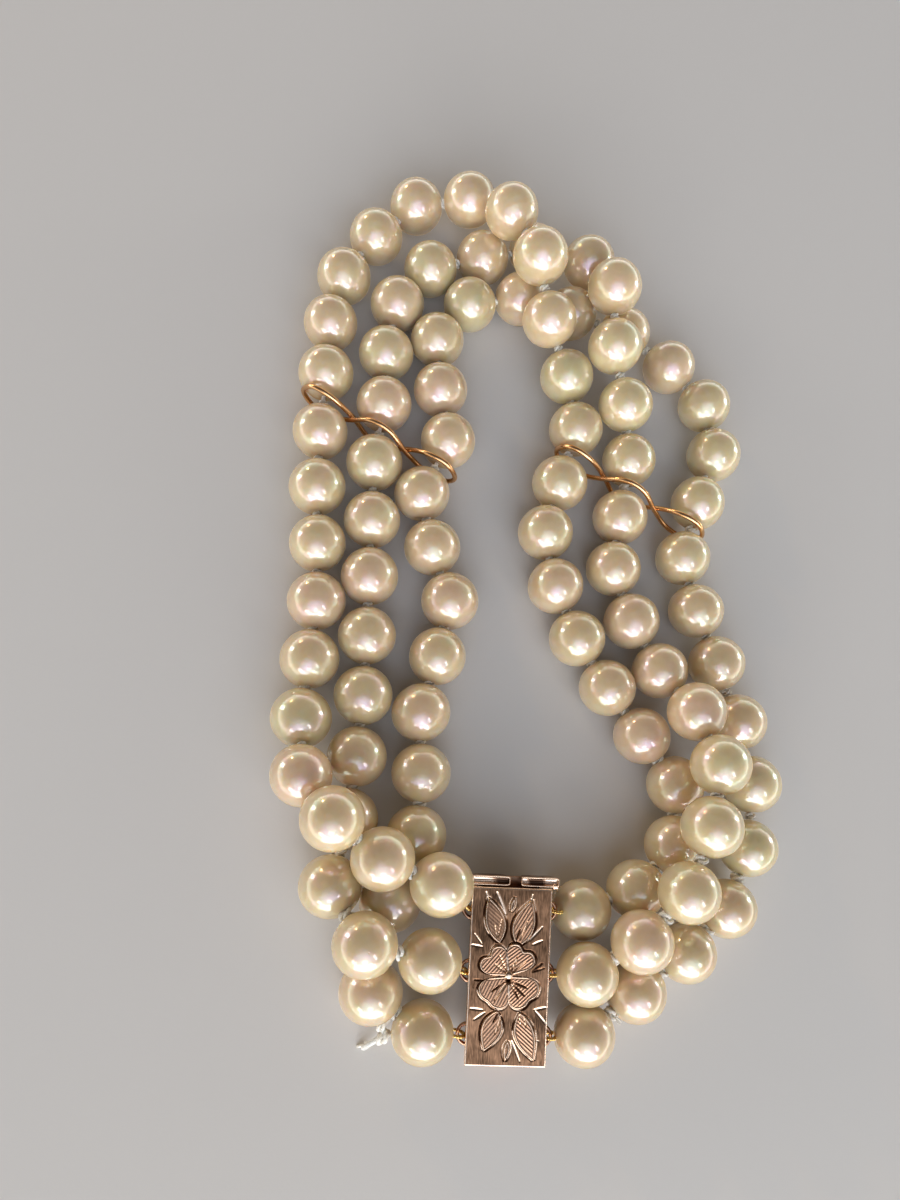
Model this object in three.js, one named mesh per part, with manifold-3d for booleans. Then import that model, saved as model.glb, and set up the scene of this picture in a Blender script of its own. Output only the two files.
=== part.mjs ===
// Three-strand pearl bracelet, fastened and laid down in a loose loop, in millimetres with +Z up.
// Three knotted strings of pearls run from one side of a box clasp to the other. Each passes
// two wire spacers, and the strings cross over each other beside the clasp and at the far end.
import * as THREE from 'three';
import { mergeVertices } from 'three/addons/utils/BufferGeometryUtils.js';
import Module from 'manifold-3d';

const wasm = await Module();
wasm.setup();

// Pearls and knots
const pearlDiameter = 6.2;
const knotLength = 0.22;
const knotDiameter = 1.0;
const pearlClearance = 0.06;
const tightestKnot = 0.08;
const loosestKnot = 0.64;
const stretchedThread = 1.9;

// Wire-wound loops that tie each string to its ring
const loopWireDiameter = 0.28;
const loopWidth = 1.8;
const loopSlack = 0.5;
const loopSeat = 0.3;

// Spacers of bent wire, with one eye for each string
const spacerWireDiameter = 0.65;
const eyeSpacing = 7.2;
const eyeHeight = 4.6;
const eyeEndReach = 2.75;
const spacerGap = 0.85;
const eyeTopShare = 0.34;
const crossingShare = 0.84;
const endOverlapShare = 1.2;

// Box clasp with its engraved plate
const claspWidth = 7.9;
const claspLength = 17.0;
const claspHeight = 3.4;
const plateThickness = 0.6;
const plateOverhang = 0.35;
const plateCornerRadius = 0.35;
const claspWall = 0.5;
const reliefHeight = 0.15;
const reliefSeat = 0.1;
const domeDiameter = 1.1;
const domeTopDiameter = 0.66;
const ringWireDiameter = 0.36;
const ringReach = 1.2;
const ringSpacing = 6.1;
const ringClearance = 0.08;
const claspClearance = 0.12;

// Spring tongue with its notched end plate
const tongueClearance = 0.3;
const tongueLeaf = 0.4;
const tongueLength = 12.0;
const endPlateWidth = 8.6;
const endPlateShift = 0.33;
const endPlateThickness = 0.7;
const endPlateDrop = 0.25;
const endPanelDepth = 0.3;
const endPanelRim = 0.28;
const notchWidth = 1.05;
const notchDepth = 1.6;
const endPlateSeat = 0.1;

// How the clasp lies, in degrees, with its place in pearl pitches from the middle of the loop
const claspPlaceShares = { across: -0.51, along: -6.32 };
const claspLiftDegrees = 9;
const claspRollDegrees = -5;
const claspTurnDegrees = -1.5;

const pearlRadius = pearlDiameter / 2;
const pearlPitch = pearlDiameter + knotLength;
const stringCount = 3;
const pearlSides = 10;
const pearlRings = 5;
const wireSides = 6;
const stepsPerEye = 9;
const knotSides = 5;
const loopSides = 5;
const loopSteps = 12;
const ringSteps = 8;
const domeSides = 8;
const cornerSteps = 2;
const outlineSteps = 4;
const settlingPasses = 240;
const nearbyMargin = 1.5;

// Chosen points of the strings. Each row gives a pearl's number, its place across and along in
// pearl pitches from the middle of the loop, and its height in pearl diameters. The pearls
// between two rows lie on a smooth curve.
const stringRoutes = [
  {
    name: 'pearl_strand_1', pearls: 31, spacersAfter: [10, 21], stretchedAfter: 0,
    rows: [
      [1, -1.52, -4.95, 0.85], [2, -2.44, -4.57, 1.20], [3, -3.23, -3.99, 1.47],
      [4, -3.70, -3.33, 0.93], [5, -3.75, -2.43, 0.60], [7, -3.57, -0.46, 0.50],
      [9, -3.63, 1.53, 0.50], [11, -3.55, 3.63, 0.50], [13, -3.29, 5.57, 0.50],
      [15, -1.99, 7.20, 0.50], [16, -1.06, 7.26, 0.75], [17, -0.42, 6.62, 1.28],
      [18, 0.10, 5.62, 1.42], [19, 0.36, 4.72, 1.05], [20, 0.77, 3.87, 0.65],
      [21, 0.93, 2.88, 0.50], [23, 0.34, 0.94, 0.50], [25, 0.81, -0.92, 0.50],
      [27, 1.92, -2.60, 0.50], [28, 2.45, -3.43, 0.50], [29, 2.28, -4.39, 0.50],
      [30, 1.70, -5.05, 0.50], [31, 0.86, -5.40, 0.53],
    ],
  },
  {
    name: 'pearl_strand_2', pearls: 31, spacersAfter: [10, 21], stretchedAfter: 0,
    rows: [
      [1, -1.65, -6.07, 0.88], [2, -2.60, -5.70, 1.08], [3, -3.12, -4.90, 0.60],
      [4, -2.98, -3.98, 0.50], [6, -2.77, -2.02, 0.50], [8, -2.73, -0.01, 0.50],
      [10, -2.65, 2.02, 0.50], [11, -2.53, 3.14, 0.50], [13, -2.29, 5.11, 0.50],
      [14, -1.71, 5.88, 0.50], [16, 0.30, 6.52, 0.50], [17, 1.12, 6.35, 0.66],
      [18, 1.36, 5.25, 1.12], [19, 1.52, 4.22, 1.05], [21, 1.87, 2.35, 0.53],
      [23, 1.54, 0.30, 0.50], [25, 2.23, -1.46, 0.58], [26, 2.63, -2.25, 1.00],
      [27, 2.80, -3.10, 1.27], [29, 2.17, -5.09, 1.27], [31, 0.71, -6.29, 0.77],
    ],
  },
  {
    name: 'pearl_strand_3', pearls: 31, spacersAfter: [10, 21], stretchedAfter: 2,
    rows: [
      [1, -1.79, -7.12, 0.50], [2, -2.57, -6.55, 0.50], [3, -2.25, -5.22, 0.50],
      [4, -1.85, -4.23, 0.50], [6, -1.85, -2.31, 0.50], [7, -1.58, -1.34, 0.50],
      [8, -1.38, -0.35, 0.50], [9, -1.67, 0.58, 0.50], [10, -1.85, 1.52, 0.50],
      [11, -1.43, 2.56, 0.50], [13, -1.61, 4.46, 0.50], [14, -1.02, 5.21, 0.50],
      [15, -0.10, 5.47, 0.50], [17, 1.96, 4.90, 0.50], [19, 3.40, 3.60, 0.50],
      [20, 3.53, 2.63, 0.50], [22, 2.82, 0.60, 0.50], [24, 3.31, -1.30, 0.50],
      [26, 3.80, -3.36, 0.50], [28, 3.20, -5.39, 0.50], [31, 0.70, -7.20, 0.50],
    ],
  },
];

const gold = { color: 0xb98258, roughness: 0.25, metalness: 1.0 };
const redGold = { color: 0xa06a4c, roughness: 0.32, metalness: 1.0 };
const nacre = { color: 0xe6d3ae, roughness: 0.22, metalness: 0.0 };

// Solids and meshes
function solidOf(geometry) {
  const bare = geometry.clone();
  bare.deleteAttribute('normal');
  bare.deleteAttribute('uv');
  const merged = mergeVertices(bare, 1e-5);
  return new wasm.Manifold(new wasm.Mesh({
    numProp: 3,
    vertProperties: new Float32Array(merged.attributes.position.array),
    triVerts: new Uint32Array(merged.index.array),
  }));
}

function joined(geometries) {
  return geometries.map(solidOf).reduce((whole, piece) => whole.add(piece));
}

function meshOf(name, solid, finish) {
  const { vertProperties, triVerts } = solid.getMesh();
  const geometry = new THREE.BufferGeometry();
  geometry.setAttribute('position', new THREE.BufferAttribute(vertProperties, 3));
  geometry.setIndex(new THREE.BufferAttribute(triVerts, 1));
  geometry.computeVertexNormals();
  const mesh = new THREE.Mesh(geometry, new THREE.MeshStandardMaterial(finish));
  mesh.name = name;
  return mesh;
}

function boxBetween(low, high) {
  const [x0, y0, z0] = low;
  const [x1, y1, z1] = high;
  const box = new THREE.BoxGeometry(x1 - x0, y1 - y0, z1 - z0);
  return box.translate((x0 + x1) / 2, (y0 + y1) / 2, (z0 + z1) / 2);
}

function roundSection(diameter, sides = wireSides) {
  const corners = [];
  for (let i = 0; i < sides; i += 1) {
    const angle = (2 * Math.PI * (i + 0.5)) / sides;
    corners.push(new THREE.Vector2(Math.cos(angle), Math.sin(angle)).multiplyScalar(diameter / 2));
  }
  return new THREE.Shape(corners);
}

function wireAlong(points, diameter, steps) {
  return new THREE.ExtrudeGeometry(roundSection(diameter), {
    steps,
    extrudePath: new THREE.CatmullRomCurve3(points),
  });
}

function rodBetween(start, end, diameter) {
  const rod = new THREE.CylinderGeometry(diameter / 2, diameter / 2, start.distanceTo(end), knotSides);
  const along = end.clone().sub(start).normalize();
  rod.applyQuaternion(new THREE.Quaternion().setFromUnitVectors(new THREE.Vector3(0, 1, 0), along));
  const middle = start.clone().lerp(end, 0.5);
  return rod.translate(middle.x, middle.y, middle.z);
}

// The clasp's own frame has its origin in the middle of the plate's top face, with the plate's
// length along y. Its lowest corner touches the surface.
function claspFrame() {
  const turn = THREE.MathUtils.degToRad;
  const frame = new THREE.Group();
  frame.rotation.set(
    turn(claspLiftDegrees), turn(claspRollDegrees), turn(claspTurnDegrees), 'ZXY',
  );
  let lowest = 0;
  for (const x of [-0.5, 0.5]) {
    for (const y of [-0.5, 0.5]) {
      const corner = new THREE.Vector3(x * (claspWidth - 2 * plateOverhang), y * claspLength, -claspHeight);
      lowest = Math.min(lowest, corner.applyEuler(frame.rotation).z);
    }
  }
  frame.position.set(claspPlaceShares.across * pearlPitch, claspPlaceShares.along * pearlPitch, -lowest);
  frame.updateMatrixWorld();
  return frame;
}

const claspEnd = claspLength / 2 + tongueClearance + endPlateThickness;
const claspLowest = new THREE.Vector3(-claspWidth / 2, -claspLength / 2, -claspHeight);
const claspHighest = new THREE.Vector3(claspWidth / 2, claspEnd, reliefHeight);
const sideWall = claspWidth / 2 - plateOverhang;
const ringHeight = -claspHeight / 2;
const ringRadius = ringReach - ringWireDiameter / 2;
const ringHoleMiddle = (ringReach - ringWireDiameter) / 2;
const closestPearl = pearlRadius + ringReach - ringHoleMiddle + ringClearance;

function ringPlace(string, side) {
  return new THREE.Vector3(side * sideWall, ((stringCount - 1) / 2 - string) * ringSpacing, ringHeight);
}

function ringHole(frame, string, side) {
  const place = ringPlace(string, side);
  place.x += side * ringHoleMiddle;
  return place.applyMatrix4(frame.matrixWorld);
}

// Strings of pearls
function pearlsOnRoute(route) {
  const last = route.rows.length - 1;
  const value = (row, column) => {
    const unit = column === 3 ? pearlDiameter : pearlPitch;
    return route.rows[row][column] * unit;
  };
  const slope = (row, column) => {
    const before = Math.max(row - 1, 0);
    const after = Math.min(row + 1, last);
    return (value(after, column) - value(before, column)) / (route.rows[after][0] - route.rows[before][0]);
  };
  const pearls = [];
  let row = 0;
  for (let number = 1; number <= route.pearls; number += 1) {
    while (row < last - 1 && number > route.rows[row + 1][0]) {
      row += 1;
    }
    const span = route.rows[row + 1][0] - route.rows[row][0];
    const t = (number - route.rows[row][0]) / span;
    const place = [1, 2, 3].map((column) => (
      (2 * t ** 3 - 3 * t ** 2 + 1) * value(row, column)
      + (t ** 3 - 2 * t ** 2 + t) * span * slope(row, column)
      + (3 * t ** 2 - 2 * t ** 3) * value(row + 1, column)
      + (t ** 3 - t ** 2) * span * slope(row + 1, column)
    ));
    pearls.push(new THREE.Vector3(...place));
  }
  return pearls;
}

// The room between two neighbours of a string: a knot, and more at a spacer or a stretched thread.
function roomAfter(route, number) {
  let room = 0;
  if (route.spacersAfter.includes(number)) {
    room += spacerGap;
  }
  if (route.stretchedAfter === number) {
    room += stretchedThread;
  }
  return room;
}

function keepApart(a, b, nearest, farthest) {
  const gap = b.clone().sub(a);
  const distance = gap.length();
  const wanted = Math.min(Math.max(distance, nearest), farthest);
  gap.multiplyScalar((0.5 * (wanted - distance)) / distance);
  a.sub(gap);
  b.add(gap);
}

function holdAt(pearl, anchor) {
  const away = pearl.clone().sub(anchor);
  const distance = away.length();
  const wanted = Math.min(Math.max(distance, closestPearl), closestPearl + 2 * loopSlack);
  pearl.copy(anchor).addScaledVector(away, wanted / distance);
}

// Pushes a pearl out of the clasp's box and its relief.
function clearOfClasp(pearl, frame, toClasp) {
  const place = pearl.clone().applyMatrix4(toClasp);
  const nearest = place.clone().clamp(claspLowest, claspHighest);
  const away = place.sub(nearest);
  const distance = away.length();
  if (distance < pearlRadius + claspClearance) {
    away.setLength(pearlRadius + claspClearance);
    pearl.copy(nearest.add(away).applyMatrix4(frame.matrixWorld));
  }
}

// Lets the charted pearls settle: neighbours keep their knots, other pearls don't touch, the end
// pearls hang on their rings, and nothing goes into the clasp or below the surface.
function settle(strings, frame) {
  const all = strings.flat();
  const links = [];
  const neighbours = new Set();
  let first = 0;
  strings.forEach((pearls, s) => {
    for (let i = 0; i + 1 < pearls.length; i += 1) {
      links.push([first + i, first + i + 1, roomAfter(stringRoutes[s], i + 1)]);
      neighbours.add(`${first + i} ${first + i + 1}`);
    }
    first += pearls.length;
  });
  const pairs = [];
  for (let i = 0; i < all.length; i += 1) {
    for (let j = i + 1; j < all.length; j += 1) {
      if (!neighbours.has(`${i} ${j}`) && all[i].distanceTo(all[j]) < pearlDiameter + nearbyMargin) {
        pairs.push([i, j]);
      }
    }
  }
  const anchors = strings.map((pearls, s) => [ringHole(frame, s, -1), ringHole(frame, s, 1)]);
  const toClasp = frame.matrixWorld.clone().invert();
  for (let pass = 0; pass < settlingPasses; pass += 1) {
    for (const [i, j, room] of links) {
      keepApart(all[i], all[j], pearlDiameter + tightestKnot + room, pearlDiameter + loosestKnot + room);
    }
    strings.forEach((pearls, s) => {
      holdAt(pearls[0], anchors[s][0]);
      holdAt(pearls[pearls.length - 1], anchors[s][1]);
    });
    for (const [i, j] of pairs) {
      keepApart(all[i], all[j], pearlDiameter + pearlClearance, Infinity);
    }
    for (const pearl of all) {
      clearOfClasp(pearl, frame, toClasp);
      pearl.z = Math.max(pearl.z, pearlRadius);
    }
  }
  return anchors;
}

function pearl(centre) {
  const ball = new THREE.SphereGeometry(pearlRadius, pearlSides, pearlRings);
  return ball.rotateX(Math.PI / 2).translate(centre.x, centre.y, centre.z);
}

// A loop of thread wound with fine wire, from inside the end pearl through its ring.
function endLoop(endPearl, anchor, up) {
  const outward = endPearl.clone().sub(anchor);
  const halfLength = (outward.length() - pearlRadius + loopSeat) / 2;
  outward.normalize();
  const rise = up.clone().addScaledVector(outward, -up.dot(outward)).normalize();
  const flat = outward.clone().cross(rise);
  const loop = new THREE.TorusGeometry(loopWidth / 2, loopWireDiameter / 2, loopSides, loopSteps);
  loop.scale((2 * halfLength) / loopWidth, 1, 1);
  loop.applyMatrix4(new THREE.Matrix4().makeBasis(outward, rise, flat));
  const middle = anchor.clone().addScaledVector(outward, halfLength);
  return loop.translate(middle.x, middle.y, middle.z);
}

function pearlString(route, pearls, anchors, up) {
  const pieces = pearls.map(pearl);
  for (let i = 0; i + 1 < pearls.length; i += 1) {
    const along = pearls[i + 1].clone().sub(pearls[i]).normalize();
    const inside = pearlRadius - knotDiameter / 2;
    const start = pearls[i].clone().addScaledVector(along, inside);
    const end = pearls[i + 1].clone().addScaledVector(along, -inside);
    pieces.push(rodBetween(start, end, knotDiameter));
  }
  pieces.push(endLoop(pearls[0], anchors[0], up));
  pieces.push(endLoop(pearls[pearls.length - 1], anchors[1], up));
  return meshOf(route.name, joined(pieces), nacre);
}

// A spacer is one wire bent into eyes. It goes out above and below the threads by turns and comes
// back the other way, so the two runs cross between the strings.
function spacer(name, threads) {
  const middle = threads[0].clone().add(threads[stringCount - 1]).multiplyScalar(0.5);
  const along = threads[stringCount - 1].clone().sub(threads[0]).setZ(0).normalize();
  const side = new THREE.Vector3(-along.y, along.x, 0);
  const up = new THREE.Vector3(0, 0, 1);
  const rise = (eyeHeight - spacerWireDiameter) / 2;
  const crossing = (spacerWireDiameter * crossingShare) / 2;
  const top = (eyeSpacing * eyeTopShare) / 2;
  const endReach = ((stringCount - 1) / 2) * eyeSpacing + eyeEndReach - spacerWireDiameter / 2;
  const overlap = (spacerWireDiameter * endOverlapShare) / 2;
  const at = (x, y, z) => (
    middle.clone().addScaledVector(along, x).addScaledVector(side, y).addScaledVector(up, z)
  );
  const run = (sign) => {
    const points = [at(-endReach, 0, -sign * overlap), at(-endReach, 0, sign * overlap)];
    for (let eye = 0; eye < stringCount; eye += 1) {
      const x = (eye - (stringCount - 1) / 2) * eyeSpacing;
      const over = eye % 2 === 0 ? sign : -sign;
      points.push(at(x - top, 0, over * rise), at(x + top, 0, over * rise));
      if (eye + 1 < stringCount) {
        points.push(at(x + eyeSpacing / 2, sign * crossing, 0));
      }
    }
    const out = stringCount % 2 === 1 ? sign : -sign;
    points.push(at(endReach, 0, out * overlap), at(endReach, 0, -out * overlap));
    return wireAlong(points, spacerWireDiameter, stepsPerEye * stringCount);
  };
  return meshOf(name, joined([run(1), run(-1)]), gold);
}

// Clasp
function plate() {
  const x = claspWidth / 2;
  const y = claspLength / 2;
  const r = plateCornerRadius;
  const outline = new THREE.Shape();
  outline.moveTo(-x + r, -y);
  outline.absarc(x - r, -y + r, r, -Math.PI / 2, 0);
  outline.absarc(x - r, y - r, r, 0, Math.PI / 2);
  outline.absarc(-x + r, y - r, r, Math.PI / 2, Math.PI);
  outline.absarc(-x + r, -y + r, r, Math.PI, 1.5 * Math.PI);
  const solid = new THREE.ExtrudeGeometry(outline, {
    depth: plateThickness, bevelEnabled: false, curveSegments: cornerSteps,
  });
  return solid.translate(0, 0, -plateThickness);
}

function ring(string, side) {
  const place = ringPlace(string, side);
  const points = [];
  for (let i = 0; i <= ringSteps; i += 1) {
    const angle = (Math.PI * i) / ringSteps;
    points.push(new THREE.Vector3(
      place.x + side * ringRadius * Math.sin(angle),
      place.y + ringRadius * Math.cos(angle),
      place.z,
    ));
  }
  const root = claspWall / 2;
  const first = points[0].clone().setX(place.x - side * root);
  const last = points[ringSteps].clone().setX(place.x - side * root);
  return wireAlong([first, ...points, last], ringWireDiameter, ringSteps + 2);
}

// Low relief of the plate, with places and sizes as shares of its width and length: a flower of
// four heart-shaped petals, and a pair of leaves towards each end.
const petals = [
  { x: -0.18, y: 0.085, length: 0.20, width: 0.36, angle: 135 },
  { x: 0.18, y: 0.085, length: 0.20, width: 0.36, angle: 45 },
  { x: -0.18, y: -0.09, length: 0.20, width: 0.36, angle: 225 },
  { x: 0.18, y: -0.09, length: 0.20, width: 0.36, angle: 315 },
];
const leaves = [
  { x: -0.20, y: 0.33, length: 0.29, width: 0.26, angle: 116 },
  { x: 0.17, y: 0.32, length: 0.27, width: 0.30, angle: 66 },
  { x: -0.20, y: -0.30, length: 0.26, width: 0.30, angle: 246 },
  { x: 0.20, y: -0.32, length: 0.28, width: 0.24, angle: 289 },
];

// Guide points of one half of a petal, as shares of its length and width from its middle
const petalGuide = {
  tip: [-0.5, 0],
  shoulder: [-0.3, 0.5],
  cheek: [0.35, 0.75],
  lobe: [0.5, 0.22],
  dip: [0.45, 0.05],
  cleft: [0.3, 0],
};

function petalOutline(length, width) {
  const { tip, shoulder, cheek, lobe, dip, cleft } = petalGuide;
  const at = ([u, v], side) => [u * length, side * v * width];
  const outline = new THREE.Shape();
  outline.moveTo(...at(tip, 1));
  outline.bezierCurveTo(...at(shoulder, 1), ...at(cheek, 1), ...at(lobe, 1));
  outline.quadraticCurveTo(...at(dip, 1), ...at(cleft, 1));
  outline.quadraticCurveTo(...at(dip, -1), ...at(lobe, -1));
  outline.bezierCurveTo(...at(cheek, -1), ...at(shoulder, -1), ...at(tip, -1));
  return outline;
}

function leafOutline(length, width) {
  const outline = new THREE.Shape();
  outline.moveTo(-length / 2, 0);
  outline.quadraticCurveTo(0, width, length / 2, 0);
  outline.quadraticCurveTo(0, -width, -length / 2, 0);
  return outline;
}

function relief(rows, outlineOf) {
  return rows.map(({ x, y, length, width, angle }) => {
    const outline = outlineOf(length * claspLength, width * claspWidth);
    const raised = new THREE.ExtrudeGeometry(outline, {
      depth: reliefHeight + reliefSeat, bevelEnabled: false, curveSegments: outlineSteps,
    });
    raised.rotateZ(THREE.MathUtils.degToRad(angle));
    return raised.translate(x * claspWidth, y * claspLength, -reliefSeat);
  });
}

function flowerCentre() {
  const height = 2 * reliefHeight + reliefSeat;
  const dome = new THREE.CylinderGeometry(domeTopDiameter / 2, domeDiameter / 2, height, domeSides);
  return dome.rotateX(Math.PI / 2).translate(0, 0, reliefHeight - reliefSeat / 2);
}

function claspBox() {
  const x = sideWall;
  const y = claspLength / 2 - plateOverhang;
  const seat = plateThickness / 2;
  const shell = boxBetween([-x, -y, -claspHeight], [x, y, -seat]);
  const cavity = boxBetween(
    [-x + claspWall, -y + claspWall, -claspHeight + claspWall],
    [x - claspWall, y + claspWall, -plateThickness],
  );
  const pieces = [plate(), ...relief(petals, petalOutline), ...relief(leaves, leafOutline), flowerCentre()];
  for (let string = 0; string < stringCount; string += 1) {
    pieces.push(ring(string, -1), ring(string, 1));
  }
  const hollow = solidOf(shell).subtract(solidOf(cavity));
  return meshOf('clasp_box', hollow.add(joined(pieces)), gold);
}

// The tongue is a strip folded back on itself, on an end plate with a notch for the thumb.
function claspTongue() {
  const width = 2 * (sideWall - claspWall - tongueClearance);
  const low = -claspHeight + claspWall + tongueClearance;
  const high = -plateThickness - tongueClearance;
  const end = claspLength / 2 + tongueClearance;
  const fold = end - tongueLength;
  const strip = new THREE.Shape();
  strip.moveTo(end, low);
  strip.lineTo(end, low + tongueLeaf);
  strip.lineTo(fold + 2 * tongueLeaf, low + tongueLeaf);
  strip.lineTo(end - endPlateThickness, high - tongueLeaf);
  strip.lineTo(end - endPlateThickness, high);
  strip.lineTo(fold, low + tongueLeaf);
  strip.lineTo(fold, low);
  strip.closePath();
  const leaf = new THREE.ExtrudeGeometry(strip, { depth: width, bevelEnabled: false });
  leaf.applyMatrix4(new THREE.Matrix4().makeBasis(
    new THREE.Vector3(0, 1, 0), new THREE.Vector3(0, 0, 1), new THREE.Vector3(1, 0, 0),
  )).translate(-width / 2, 0, 0);
  const x = endPlateWidth / 2;
  const bottom = -claspHeight + endPlateDrop;
  const seat = endPlateSeat;
  const face = end + endPlateThickness;
  const shifted = (box) => solidOf(box.translate(endPlateShift, 0, 0));
  const endPlate = shifted(boxBetween([-x, end - seat, bottom], [x, face, -endPlateDrop]));
  const notch = shifted(boxBetween(
    [-notchWidth / 2, end - 2 * seat, -endPlateDrop - notchDepth],
    [notchWidth / 2, face + seat, 0],
  ));
  const panels = [-1, 1].map((side) => {
    const edges = [side * (notchWidth / 2 + endPanelRim), side * (x - endPanelRim)].sort((a, b) => a - b);
    return shifted(boxBetween(
      [edges[0], face - endPanelDepth, bottom + endPanelRim],
      [edges[1], face + seat, -endPlateDrop - endPanelRim],
    ));
  });
  const cutPlate = panels.reduce((left, panel) => left.subtract(panel), endPlate.subtract(notch));
  return meshOf('clasp_tongue', cutPlate.add(solidOf(leaf)), redGold);
}

// Assembly
const clasp = claspFrame();
clasp.add(claspBox(), claspTongue());

const strings = stringRoutes.map(pearlsOnRoute);
const anchors = settle(strings, clasp);
const claspUp = new THREE.Vector3(0, 0, 1).applyEuler(clasp.rotation);

const bracelet = new THREE.Group();
bracelet.add(clasp);
stringRoutes.forEach((route, s) => {
  bracelet.add(pearlString(route, strings[s], anchors[s], claspUp));
});
['spacer_left', 'spacer_right'].forEach((name, i) => {
  const threads = stringRoutes.map((route, s) => {
    const after = route.spacersAfter[i];
    return strings[s][after - 1].clone().lerp(strings[s][after], 0.5);
  });
  bracelet.add(spacer(name, threads));
});

// The origin is on the surface, under the middle of the bracelet's box.
bracelet.updateMatrixWorld(true);
const extent = new THREE.Box3().setFromObject(bracelet, true);
const middle = extent.getCenter(new THREE.Vector3());
bracelet.position.set(-middle.x, -middle.y, -extent.min.z);

export default bracelet;
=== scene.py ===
"""Three-strand pearl bracelet with knotted silk, wire spacers and an engraved box clasp.

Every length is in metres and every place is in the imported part's own frame. The pearls' centres
and the clasp's place are read from the frame's meshes, so the looks follow the part.
"""

import math

import bpy
import numpy as np
from bpy.props import FloatProperty, FloatVectorProperty, PointerProperty
from mathutils import Matrix


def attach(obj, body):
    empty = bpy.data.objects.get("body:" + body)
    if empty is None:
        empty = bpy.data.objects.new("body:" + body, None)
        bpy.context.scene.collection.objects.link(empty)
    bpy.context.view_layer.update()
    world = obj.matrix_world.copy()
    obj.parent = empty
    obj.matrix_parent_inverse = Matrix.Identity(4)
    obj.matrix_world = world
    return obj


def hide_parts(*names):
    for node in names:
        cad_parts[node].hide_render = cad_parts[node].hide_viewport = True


bl_info = {
    "name": "Pearl Bracelet",
    "version": (1, 0, 0),
    "blender": (4, 5, 0),
    "location": "3D View > Sidebar > Bracelet",
    "description": "Builds a three-strand pearl bracelet and the studio it is shown in",
    "category": "Add Mesh",
}

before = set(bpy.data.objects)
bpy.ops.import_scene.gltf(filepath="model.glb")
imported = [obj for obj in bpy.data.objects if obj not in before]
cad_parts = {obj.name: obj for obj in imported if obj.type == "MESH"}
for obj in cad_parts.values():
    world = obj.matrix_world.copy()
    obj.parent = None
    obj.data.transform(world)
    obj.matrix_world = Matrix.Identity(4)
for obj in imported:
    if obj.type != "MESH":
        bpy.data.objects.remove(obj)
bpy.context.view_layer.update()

MM = 0.001

# The part's nodes, the pearls on a strand and the numbers of pearls that come before a spacer
STRANDS = ("pearl_strand_1", "pearl_strand_2", "pearl_strand_3")
SPACERS = ("spacer_left", "spacer_right")
PEARLS_PER_STRAND = 31
SPACERS_AFTER = (10, 21)

# How the clasp lies: its far end lifted, one side lowered, and turned a little
CLASP_LIFT, CLASP_ROLL, CLASP_TURN = (math.radians(a) for a in (9.0, -5.0, -1.5))


def linear(hex_colour):
    """The linear RGB of an sRGB hex colour."""
    value = hex_colour.lstrip("#")
    srgb = [int(value[i : i + 2], 16) / 255 for i in (0, 2, 4)]
    return tuple(c / 12.92 if c <= 0.04045 else ((c + 0.055) / 1.055) ** 2.4 for c in srgb)


def length(name, default_mm, description):
    """A property that holds a length, with its default given in millimetres."""
    return FloatProperty(
        name=name,
        description=description,
        default=default_mm * MM,
        min=0.0,
        unit="LENGTH",
        precision=5,
    )


def colour(name, default_hex, description):
    """A property that holds a colour, with its default given as an sRGB hex value."""
    return FloatVectorProperty(
        name=name,
        description=description,
        default=linear(default_hex),
        size=3,
        min=0.0,
        max=1.0,
        subtype="COLOR",
    )


class BraceletSizes(bpy.types.PropertyGroup):
    """Sizes of the pearls, the thread and the metal parts."""

    pearl: length("Pearl", 6.2, "Diameter of a pearl")
    hole: length("Drill hole", 0.7, "Diameter of the hole through a pearl")
    knot: length("Knot", 1.15, "Widest diameter of a knot between two pearls")
    thread: length("Thread", 0.42, "Diameter of the silk thread")
    loop_wire: length("Loop wire", 0.40, "Diameter of the wound loops at the clasp")
    loop_width: length("Loop width", 1.8, "Width of the wound loops at the clasp")
    spacer_wire: length("Spacer wire", 0.55, "Diameter of the spacers' wire")
    eye_spacing: length("Eye spacing", 7.2, "Distance between two eyes of a spacer")
    eye_height: length("Eye height", 4.6, "Height of a spacer's eye")
    eye_reach: length("Eye reach", 2.75, "From the last eye's middle to the spacer's end")
    clasp_width: length("Clasp width", 7.9, "Width of the engraved plate")
    clasp_length: length("Clasp length", 17.0, "Length of the engraved plate")
    clasp_height: length("Clasp height", 3.4, "Height of the clasp's box")
    plate: length("Plate", 0.6, "Thickness of the engraved plate")
    overhang: length("Overhang", 0.35, "How far the plate stands out over the box")
    case_wall: length("Case wall", 0.5, "Thickness of the box's walls")
    ring_wire: length("Ring wire", 0.36, "Diameter of the rings' wire")
    ring_reach: length("Ring reach", 1.2, "How far a ring stands out from the box")
    ring_spacing: length("Ring spacing", 6.1, "Distance between two rings")


class BraceletFinishes(bpy.types.PropertyGroup):
    """Colours of the nacre, the silk, the metals and the studio."""

    cream: colour("Cream nacre", "#D8C199", "Body colour of most pearls")
    rose: colour("Rose nacre", "#DCBC9F", "Body colour of the pinkest pearls")
    green: colour("Green nacre", "#CFC497", "Body colour of the greenest pearls")
    silk: colour("Silk", "#FBF4E4", "Colour of the knotted silk")
    yellow_gold: colour("Yellow gold", "#EEC878", "Colour of the wound loops")
    wire_gold: colour("Wire gold", "#F2BE88", "Colour of the spacers' wire")
    rose_gold: colour("Rose gold", "#CB9C7A", "Colour of the clasp")
    # The ground's colour: a brown bloom, painted darker as shade
    shaded_bloom: colour("Bloom", "#7C5A40", "Colour of the engraved plate's ground")
    # The graver's bright cuts, the rims and the edges are painted in this colour as highlights
    painted_highlight_gold: colour("Bright gold", "#FFDDBC", "Colour of the graver's bright cuts")
    patina: colour("Patina", "#2C150C", "Colour of the tarnish in the engraving")
    floor: colour("Floor", "#D2CCC3", "Colour of the studio's floor")


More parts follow.
